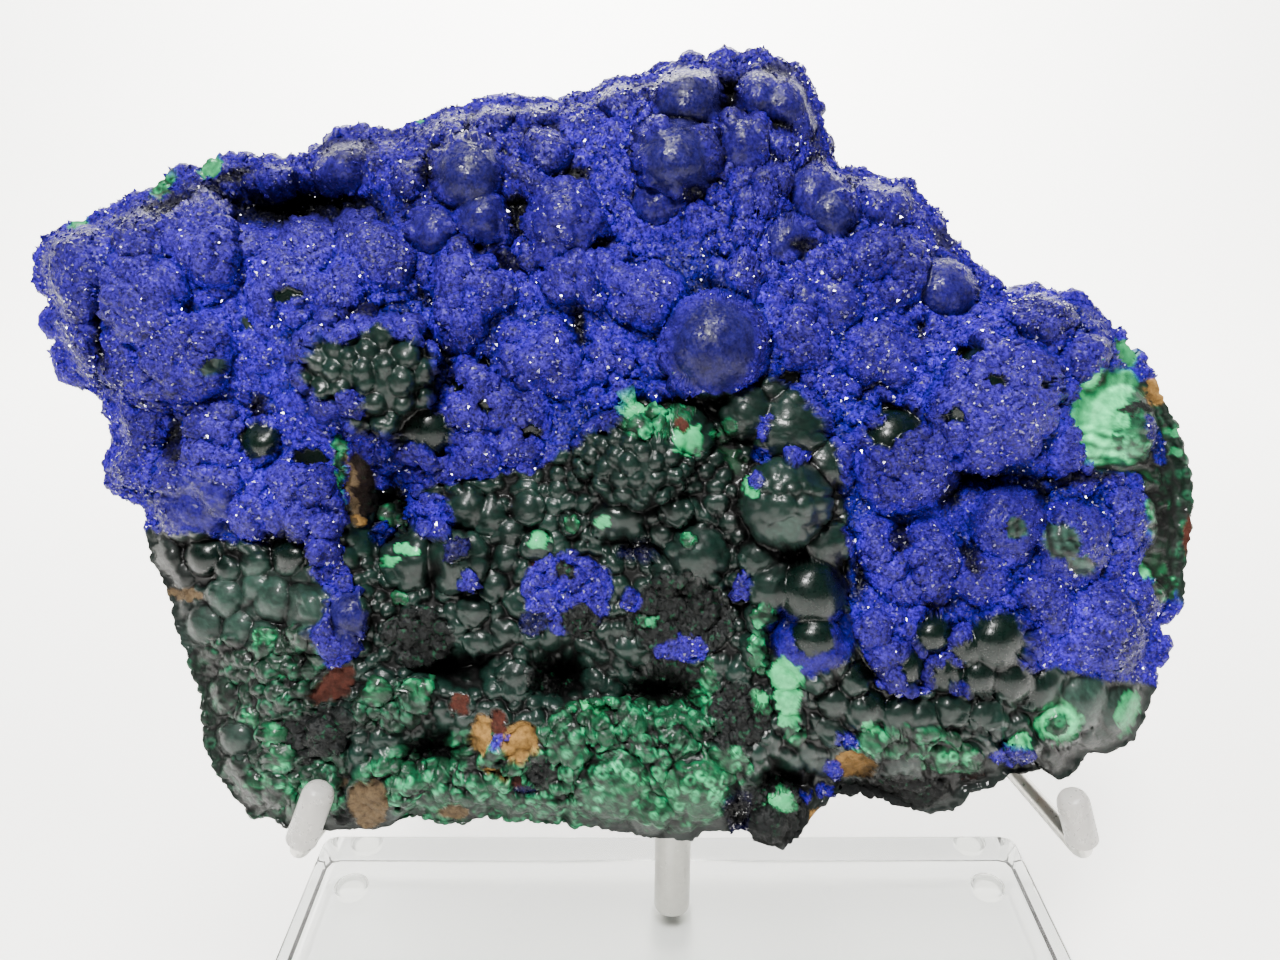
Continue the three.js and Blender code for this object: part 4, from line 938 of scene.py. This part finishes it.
def grow_crust():
    """The whole crust: lumps, small balls and grain pushed out of the bare sheet, each by its field's height
    times the look's own share of it, and kept down near the rim."""
    across, up, share, x, out, z, quads = bare_crust()
    points = to_frame(x, out, z)
    sheet = paint(across, up, points)
    fan, _ = fan_look(across, up)
    calm = (1 - 0.85 * np.exp(-((share - 1) / 0.06) ** 2)) * smooth_step(2.0, 1.7, share)
    lumps = sheet[:, LUMPS] * (1 - fan) * calm * np.clip(0.85 + noises(points, (0.9, 11.0, 40)), 0.2, 1.5)
    balls = sheet[:, BALLS] * (1 - fan) * calm
    grain = sheet[:, GRAIN] * (1 - 0.8 * fan)
    near_rim = (smooth_step(0.86, 0.98, share) * smooth_step(1.15, 1.0, share))[:, None]

    def pushed(points, amount, ahead=0.0):
        """Moves the points along their normals, or that share of the way straight out of the face. Near the
        rim the crust grows only straight out, so that the broken outline stays as it is."""
        normals = vertex_normals(points, quads)
        growing = normals + (OUT_OF_FACE - normals) * near_rim
        return points + ((1 - ahead) * growing + ahead * OUT_OF_FACE) * amount[:, None]

    large, middle = ball_field(points, 6.5, 41)[0], ball_field(points, 3.1, 45)[0]
    points = pushed(points, lumps * (1.3 * large + 2.1 * middle))
    points = pushed(points, lumps * 0.9 * ball_field(points, 1.9, 48)[0])
    bent = [place + noises(points, (0.6, 4.0, seed)) for place, seed in ((across, 53), (up, 54))]
    berry, mark = bead_field(*bent, 3.1, 51)
    bead, _ = bead_field(*bent, 1.7, 55)
    points = pushed(points, balls * (2.9 * berry + 1.4 * sheet[:, LIVELY] * bead), 0.7)
    fine = 0.5 * ball_field(points, 1.15, 61)[0] + 0.14 * smooth_noise(points, 0.7, 65)
    broken = 0.9 * np.exp(-((share - 1) / 0.03) ** 2)
    amount = np.maximum(grain, broken) * smooth_step(2.0, 1.7, share) * fine
    points = points + vertex_normals(points, quads) * amount[:, None]
    tint, gap_shade = crust_colour(points, across, up, share, sheet, (balls, berry, mark, bead))
    inward = smooth_step(0.7, 0.98, share)
    spread = (1 - inward) * (EYE_DISTANCE - CURTAIN_DEPTH) / (EYE_DISTANCE - out) + 0.9 * inward
    deep = to_frame(x * spread, np.full_like(out, CURTAIN_DEPTH), z * spread)
    return {"points": points, "quads": quads, "deep": deep, "normals": vertex_normals(points, quads),
            "mineral": np.argmax(sheet[:, :3], axis=1), "tint": tint, "grain": grain,
            "gloss": sheet[:, GLOSS] * smooth_step(0.99, 0.9, share) * (0.3 + 0.7 * gap_shade)}


def crust_pieces(crust):
    """Parts the sheet by mineral, each face going with most of its corners, and closes each part."""
    count = len(crust["points"])
    votes = crust["mineral"][crust["quads"]]
    label = np.sort(votes, axis=1)[:, 1]
    label = keep_borders_simple(crust["quads"], label, count)
    azurite = azurite_crust_material()
    middle = crust["points"][crust["quads"], 0].mean(axis=1) - FACE_CENTRE[0]
    for name, chosen, material, slot in [
        ("azurite_crust_left", (label == AZURITE) & (middle < 0), azurite, "azurite"),
        ("azurite_crust_right", (label == AZURITE) & (middle >= 0), azurite, "azurite"),
        ("malachite_crust", label == MALACHITE, malachite_crust_material(), "malachite"),
        ("ore_crust", label == ORE, ore_material(), "ore_matrix"),
    ]:
        vertices, quads, floor, source = closed_patch(crust["points"], crust["deep"], crust["quads"][chosen])
        mesh = new_mesh(name, vertices, quads, floor, crust["normals"][source])
        for key in ("tint", "grain", "gloss"):
            store(mesh, key, crust[key][source])
        add_piece(mesh, material, slot, "specimen")


def closed_rings(rings):
    """Rings of points joined by quads, with a fan to the middle of the ring at each end."""
    count, sides = rings.shape[:2]
    rows = np.arange(count)[:, None] * sides + np.arange(sides)
    ahead = np.roll(rows, -1, axis=1)
    points = np.concatenate([rings.reshape(-1, 3), rings[[0, -1]].mean(axis=1)])
    pole = np.full(sides, count * sides)
    fans = [np.stack([ahead[0], rows[0], pole], axis=-1), np.stack([rows[-1], ahead[-1], pole + 1], axis=-1)]
    return points, band_quads(rows), np.concatenate(fans)


def toward(tint, colour, share):
    """That share of the way from each point's tint to a colour."""
    return tint + (np.array(colour) - tint) * share[:, None]


def rock_body():
    """The matrix behind the crust, closed all round: rings of the rim's own shape run from a hidden front,
    over the rim, down the side, and in over the back to its middle. From the rim on, lumps and grit are
    pushed out of it along its normals."""
    pick = np.arange(BODY_SIDES) * RIM_STEPS // BODY_SIDES
    rings = []
    for share in np.linspace(0.04, 0.97, BODY_FRONT_RINGS):
        across, up = RIM[pick].T * share
        height = face_height(across, up) - 9
        shrink = (EYE_DISTANCE - height) / EYE_DISTANCE * 0.98
        rings.append(to_frame(across * shrink, height, up * shrink))
    for depth in np.linspace(7, 33, 30):
        inset = 1.4 + 8 * max(depth - 20, 0) ** 2 / 256
        across, up, out = side_point(-rim_depth(RIM_ANGLES) * max(0, 1 - depth / 12) + depth, inset)
        rings.append(to_frame(across[pick], out[pick], up[pick]))
    across, up, out = side_point(np.full(RIM_STEPS, 35.0), 7.0)
    for share in np.linspace(0.99, 0.02, 78):
        crown = 1.5 + 3 * (1 - share ** 4)
        rings.append(to_frame(across[pick] * share, out[pick] - crown, up[pick] * share))
    points, quads, fans = closed_rings(np.array(rings))
    seen = np.arange(len(points)) >= (BODY_FRONT_RINGS + 1) * BODY_SIDES
    lumps = 3.4 * ball_field(points * (1, 1, 1.6), 17.0, 81)[0] + 2.0 * ball_field(points, 7.0, 85)[0]
    push = seen * (lumps + noises(points, (1.2, 12.0, 89)) - 3.0)
    points = points + vertex_normals(points, quads) * push[:, None]
    berry, mark = ball_field(points, 2.8, 91)
    green = smooth_step(-0.1, 0.7, noises(points, (1, 18.0, 93), (0.8, 5.0, 94)))
    iron = smooth_step(0.1, 0.9, noises(points, (1, 12.0, 95), (0.8, 3.0, 96)))
    grit = (1 - green) * 0.8 * ball_field(points, 1.6, 97)[0]
    push = seen * (green * 1.9 * berry + grit + noises(points, (0.3, 1.2, 98)))
    points = points + vertex_normals(points, quads) * push[:, None]
    tint = np.array([0.030, 0.024, 0.020]) * (1 + noises(points, (0.6, 4.0, 99)))[:, None]
    tint = toward(tint, (0.100, 0.052, 0.020), iron)
    tint = toward(tint, np.array([0.008, 0.034, 0.019]) * (0.3 + 1.4 * mark)[:, None], green)
    mesh = new_mesh("ore_body", points, quads, fans)
    store(mesh, "tint", np.clip(tint, 0, 1))
    store(mesh, "gloss", 0.2 + 0.6 * green)
    add_piece(mesh, ore_material(), "ore_matrix", "specimen")


def druse(crust):
    """Thousands of tiny azurite crystals: one eight-faced blade, scaled, turned and set on the crust each
    time. The turns are unit quaternions, written out as matrices."""
    random = np.random.default_rng(7)
    blue = np.flatnonzero((crust["mineral"] == AZURITE) & (crust["grain"] > 0.35))
    chosen = random.choice(blue, CRYSTALS, replace=False)
    blade = np.array([(1, 0, 0), (0, 0.55, 0), (-1, 0, 0), (0, -0.55, 0), (0, 0, 1.25), (0, 0, -1.25)])
    faces = np.array([(0, 1, 4), (1, 2, 4), (2, 3, 4), (3, 0, 4), (1, 0, 5), (2, 1, 5), (3, 2, 5), (0, 3, 5)])
    turns = random.normal(size=(CRYSTALS, 4))
    turns /= np.linalg.norm(turns, axis=1, keepdims=True)
    w, x, y, z = turns.T
    rows = np.array([
        [1 - 2 * (y * y + z * z), 2 * (x * y - z * w), 2 * (x * z + y * w)],
        [2 * (x * y + z * w), 1 - 2 * (x * x + z * z), 2 * (y * z - x * w)],
        [2 * (x * z - y * w), 2 * (y * z + x * w), 1 - 2 * (x * x + y * y)],
    ])
    sizes = 0.22 + 0.40 * random.random(CRYSTALS) ** 2.5
    points = np.einsum("ijn,kj,n->nki", rows, blade, sizes) + crust["points"][chosen][:, None, :]
    index = (faces[None] + len(blade) * np.arange(CRYSTALS)[:, None, None]).reshape(-1, 3)
    mesh = new_mesh("azurite_druse", points.reshape(-1, 3), np.zeros((0, 4), int), index, flat=True)
    tint = crust["tint"][chosen] * (0.6 + 0.9 * random.random((CRYSTALS, 1)))
    store(mesh, "tint", np.repeat(tint, len(blade), axis=0))
    n = Nodes("azurite crystals")
    shade = n.between(n.noise(1.0), 0.3, 0.7, 0.8, 1.2)
    n.surface(Base_Color=n.scaled(n.attribute("tint", "Color"), shade),
              Roughness=0.16, IOR=1.75, Coat_Weight=0.4, Coat_Roughness=0.05)
    add_piece(mesh, n.material, "azurite", "specimen")


def circles(path, radii, along, sides):
    """Circles of the given radii about the points of a path, square to one direction or to one for each."""
    along = np.broadcast_to(along, path.shape)
    side = np.cross(along, (0.31, 0.87, 0.38))
    side /= np.linalg.norm(side, axis=1, keepdims=True)
    up = np.cross(along, side)
    turn = np.linspace(0, 2 * np.pi, sides, endpoint=False)[:, None]
    circle = side[:, None] * np.cos(turn) + up[:, None] * np.sin(turn)
    return path[:, None] + circle * np.asarray(radii, float)[:, None, None]


def directions(path):
    """Which way a path runs at each of its points, upright where two of them are the same."""
    along = np.gradient(path, axis=0)
    along[np.linalg.norm(along, axis=1) < 1e-9] = (0, 0, 1)
    return along / np.linalg.norm(along, axis=1, keepdims=True)


def rounded_route(corners, per_bend=10):
    """Straight runs joined by bends: in each bend the point is (1-t)^2 a + 2t(1-t) b + t^2 c, where a and c
    lie the bend's radius before and after the corner b. A corner is (x, y, z, radius)."""
    points = [np.array(corner[:3], float) for corner in corners]
    route = [points[0][None]]
    t = np.linspace(0, 1, per_bend)[:, None]
    for before, point, after, corner in zip(points, points[1:], points[2:], corners[1:]):
        a, c = (point + (end - point) / np.linalg.norm(end - point) * corner[3] for end in (before, after))
        route.append((1 - t) ** 2 * a + 2 * t * (1 - t) * point + t ** 2 * c)
    route.append(points[-1][None])
    return np.concatenate(route)


# Each arm's route from the hub, as (x, y, z, radius of the bend), and how far its sleeve covers it
ARM_RADIUS = 1.8
SLEEVE_RADIUS = 3.1
ARMS = {
    "left": ([(-4.0, -0.5, 64), (-66, -8, 65, 9), (-76.3, -53.3, 65.8, 4), (-70.3, -53.3, 80.2)], 11.4),
    "right": ([(4.0, -0.5, 64), (70, -8, 65, 9), (79.1, -53.3, 65.8, 4), (74.6, -53.3, 78.4)], 9.2),
    "back": ([(0, 4.2, 64.1), (0, 17.5, 64.5, 5), (0, 16.6, 112)], 16.0),
}

# The turned steel pieces: name, node, sides, and a profile of (radius, height)
TURNED = [
    ("steel_post", "post", 48,
     [(0, 9.3), (2.4, 9.3), (2.4, 0.3), (4.75, 0.3), (4.75, 59.2), (4, 60), (0, 60)]),
    ("socket_screw", "post_screw", 36,
     [(0, -6.2), (2, -6.2), (2, -8.3), (4.1, -8.3), (4.6, -7.6), (4.6, -4.3), (2.1, -4.3), (2.1, 9), (0, 9)]),
    ("steel_hub", "arm_hub", 56,
     [(0, 60.3), (5.05, 60.3), (5.05, 56), (7.6, 56), (8.5, 57), (8.5, 67.6), (7.6, 68.6), (0, 68.6)]),
]
FOOT = [(0, 0), (3.9, 0), (4.75, 0.9), (4.95, 2.0), (4.95, 2.7), (0, 2.7)]
POLE_RADIUS = 0.004  # in place of nought where a profile meets the axis


def steel_material():
    """Satin steel with fine scratches and a faint change of tone."""
    n = Nodes("satin steel")
    n.surface(Base_Color=n.mix(n.noise(3.0), (0.46, 0.445, 0.415, 1), (0.60, 0.585, 0.55, 1)),
              Roughness=n.between(n.noise(0.8, 5.0), 0.3, 0.7, 0.26, 0.36),
              Normal=n.bump(n.noise(1.5, 2.0), 0.004, 0.3), Metallic=1.0)
    return n.material


def clear_material(name, colour, roughness, ior, transmission):
    """Clear plastic, faintly uneven."""
    n = Nodes(name)
    darker = tuple(0.96 * part for part in colour)
    n.surface(Base_Color=n.mix(n.noise(6.0), (*colour, 1), (*darker, 1)),
              Roughness=n.between(n.noise(2.0), 0.3, 0.7, roughness * 0.8, roughness * 1.2),
              IOR=ior, Transmission_Weight=transmission)
    return n.material


def acrylic_material():
    """Clear polished acrylic, frosted where it is drilled, with hair-fine scuffs."""
    n = Nodes("clear acrylic")
    scuffs = n.between(n.noise(2.5, 5.0, 0.7), 0.45, 0.75, 0.0, 0.06)
    frosted = n.between(n.attribute("frost"), 0.0, 1.0, 0.0, 0.45)
    n.surface(Base_Color=n.mix(n.noise(9.0), (0.925, 0.95, 0.94, 1), (0.955, 0.975, 0.965, 1)),
              Roughness=n.math("ADD", frosted, scuffs), IOR=1.49, Transmission_Weight=1.0)
    return n.material


def arms(steel):
    """Each arm is a round rod along its route, its ends eased. Its sleeve is a tube round the last straight
    run with a domed end: radius times cos^0.45 of a quarter turn, height by its sine."""
    vinyl = clear_material("clear vinyl", (0.66, 0.64, 0.61), 0.30, 1.42, 0.5)
    for side, (corners, cover) in ARMS.items():
        route = rounded_route(corners) + STAND
        path = np.concatenate([route[:1], route, route[-1:]])
        radii = np.full(len(path), ARM_RADIUS)
        radii[[0, -1]] -= 0.4
        rod = new_mesh(f"{side}_arm_rod", *closed_rings(circles(path, radii, directions(path), 24)))
        add_piece(rod, steel, "polished_rod", f"{side}_arm")
        tip, below = np.array(corners[-1][:3], float), np.array(corners[-2][:3], float)
        along = (tip - below) / np.linalg.norm(tip - below)
        turn = np.linspace(0, np.pi / 2, 9)
        height = np.concatenate([[0.4, -cover, -cover, -cover + 0.3], 2.95 * np.sin(turn) - 0.3, [2.65]])
        inner, dome = ARM_RADIUS + 0.3, np.maximum(SLEEVE_RADIUS * np.cos(turn) ** 0.45, 0.01)
        radii = np.concatenate([[inner, inner, SLEEVE_RADIUS - 0.2, SLEEVE_RADIUS], dome, [0.005]])
        rings = circles(tip + STAND + along * height[:, None], radii, along, 32)
        sleeve = new_mesh(f"{side}_clear_sleeve", *closed_rings(rings))
        add_piece(sleeve, vinyl, "clear_vinyl", f"{side}_sleeve")


def softened(profile, radius, steps=4):
    """A profile's corners rounded: each is drawn as points of a curve between two points radius away from it,
    or 0.45 of the shorter run that meets there where that is less."""
    runs = np.hypot(*np.diff(np.array(profile, float), axis=0).T)
    room = np.minimum(np.append(runs, runs[-1]), np.insert(runs, 0, runs[0]))
    corners = [(0, *place, min(radius, 0.45 * reach)) for place, reach in zip(profile, room)]
    return rounded_route(corners, steps)[:, 1:]


def turned_piece(name, profile, sides, material, slot, node, centre=STAND):
    """A profile of (radius, height), its corners softened, turned about the vertical through the centre and
    closed at both ends."""
    radii, heights = softened(profile, 0.5).T
    path = centre + heights[:, None] * np.array([0, 0, 1.0])
    rings = circles(path, np.maximum(radii, POLE_RADIUS), np.array([0, 0, 1.0]), sides)
    add_piece(new_mesh(name, *closed_rings(rings)), material, slot, node)


def turned_pieces(steel):
    """The post, its screw and the hub, and the four bumper feet, which stand where the frame has them."""
    for name, node, sides, profile in TURNED:
        turned_piece(name, profile, sides, steel, "satin_steel", node)
    rubber = clear_material("clear bumper", (0.90, 0.91, 0.89), 0.12, 1.45, 0.9)
    for place in ("front_left", "front_right", "rear_left", "rear_right"):
        low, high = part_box(f"foot_{place}")
        centre = np.array([(low.x + high.x) / 2, (low.y + high.y) / 2, low.z]) / MM
        turned_piece(f"bumper_{place}", FOOT, 40, rubber, "clear_bumper", f"foot_{place}", centre)


def plate_edge(sides):
    """The base plate's edge: straight runs and rounded corners, stepped off evenly, about the post's axis."""
    left, right, front, rear, corner = -101.5, 101.5, -75.1, 26.5, 3.0
    x = np.repeat([right - corner, left + corner, left + corner, right - corner], 9)
    y = np.repeat([rear - corner, rear - corner, front + corner, front + corner], 9)
    turn = np.tile(np.linspace(0, np.pi / 2, 9), 4) + np.repeat(np.arange(4), 9) * np.pi / 2
    return even_steps(np.column_stack([x + corner * np.cos(turn), y + corner * np.sin(turn)]), sides)


def base_plate():
    """The clear plate as one closed band: from the shank's hole in its top, down through the screw's bore,
    out over the underside, up the polished edge and back over the top."""
    sides = 240
    edge = plate_edge(sides)
    unit = edge / np.hypot(*edge.T)[:, None]
    drilled = [(2.4, 0), (2.4, -4), (5.5, -4), (5.5, -4.2), (5.5, -18.8), (5.6, -19)]
    bevel = [(1.0, -19), (0.3, -18.7), (0, -18), (0, -17.6), (0, -1.4), (0, -1), (0.3, -0.3), (1.0, 0)]
    rings = [np.column_stack([unit * radius, np.full(sides, height)]) for radius, height in drilled]
    rings += [np.column_stack([edge - unit * inset, np.full(sides, height)]) for inset, height in bevel]
    rows = np.arange(len(rings))[:, None] * sides + np.arange(sides)
    points = np.concatenate(rings) + STAND
    mesh = new_mesh("clear_base", points, band_quads(np.concatenate([rows, rows[:1]])), flat=True)
    store(mesh, "frost", (np.arange(len(points)) < len(drilled) * sides).astype(float))
    add_piece(mesh, acrylic_material(), "clear_acrylic", "base_plate")


def stand():
    """The display stand: the clear plate, the turned steel, and the arms with their sleeves."""
    steel = steel_material()
    base_plate()
    turned_pieces(steel)
    arms(steel)


def room():
    """A pale floor that curves up by a quarter circle into a wall far behind."""
    bend, wall_top = 500, 1400
    turn = np.linspace(0, np.pi / 2, 16)[1:]
    along = np.concatenate([np.linspace(-2500, 600, 20), 600 + bend * np.sin(turn), [600 + bend]])
    up = np.concatenate([np.zeros(20), bend * (1 - np.cos(turn)), [wall_top]])
    x = np.linspace(-3500, 3500, 15)
    points = np.stack([np.tile(x, len(along)), np.repeat(along, len(x)), np.repeat(up, len(x))], axis=-1)
    corner = np.arange(len(points)).reshape(len(along), len(x))
    quads = np.stack([corner[:-1, :-1], corner[:-1, 1:], corner[1:, 1:], corner[1:, :-1]], axis=-1)
    mesh = new_mesh("floor", points, quads.reshape(-1, 4))
    floor = bpy.data.objects.new("floor", mesh)
    bpy.context.scene.collection.objects.link(floor)
    n = Nodes("pale floor")
    n.surface(Base_Color=n.mix(n.noise(400.0), (0.90, 0.89, 0.86, 1), (0.93, 0.92, 0.89, 1)),
              Roughness=0.6, Emission_Color=(1.0, 0.99, 0.965, 1), Emission_Strength=1.0)
    mesh.materials.append(n.material)


def lamp(name, place, target, size, power, colour):
    """A round lamp at a place in metres, turned towards its target."""
    light = bpy.data.lights.new(name, "AREA")
    light.shape = "DISK"
    light.size = size
    light.energy = power
    light.color = colour
    lamp_object = bpy.data.objects.new(name, light)
    bpy.context.scene.collection.objects.link(lamp_object)
    lamp_object.location = place
    direction = Vector(target) - Vector(place)
    lamp_object.rotation_euler = direction.to_track_quat("-Z", "Y").to_euler()


def camera():
    """Square on to the leaning face, with SIGHT_WIDTH of its plane in view at EYE_DISTANCE."""
    view = bpy.data.cameras.new("camera")
    view.sensor_width = 36
    view.lens = view.sensor_width * EYE_DISTANCE / SIGHT_WIDTH
    view.clip_start = 0.01
    view.clip_end = 20
    eye = bpy.data.objects.new("camera", view)
    bpy.context.scene.collection.objects.link(eye)
    eye.location = to_frame(0.0, EYE_DISTANCE, 0.0) * MM
    eye.rotation_euler = (np.pi / 2 - LEAN, 0, 0)
    bpy.context.scene.camera = eye


def light_room():
    """A dim even world, a soft lamp overhead, a softbox in front and a wash on the wall."""
    world = bpy.data.worlds.new("studio")
    world.use_nodes = True
    sky = world.node_tree.nodes["Background"].inputs
    sky["Color"].default_value = (1.0, 0.99, 0.965, 1)
    sky["Strength"].default_value = 0.12
    bpy.context.scene.world = world
    lamp("overhead", (0.0, -0.10, 1.6), (0, 0, 0), 0.5, 29, (1.0, 0.995, 0.98))
    lamp("front softbox", (-0.22, -0.60, 1.15), (0, 0, 0.12), 0.26, 35, (1.0, 0.99, 0.97))
    lamp("wall wash", (0.0, 0.5, 1.2), (0, 1.5, 0.85), 0.8, 110, (1.0, 0.995, 0.98))


camera()
crust = grow_crust()
crust_pieces(crust)
rock_body()
druse(crust)
stand()
room()
light_room()
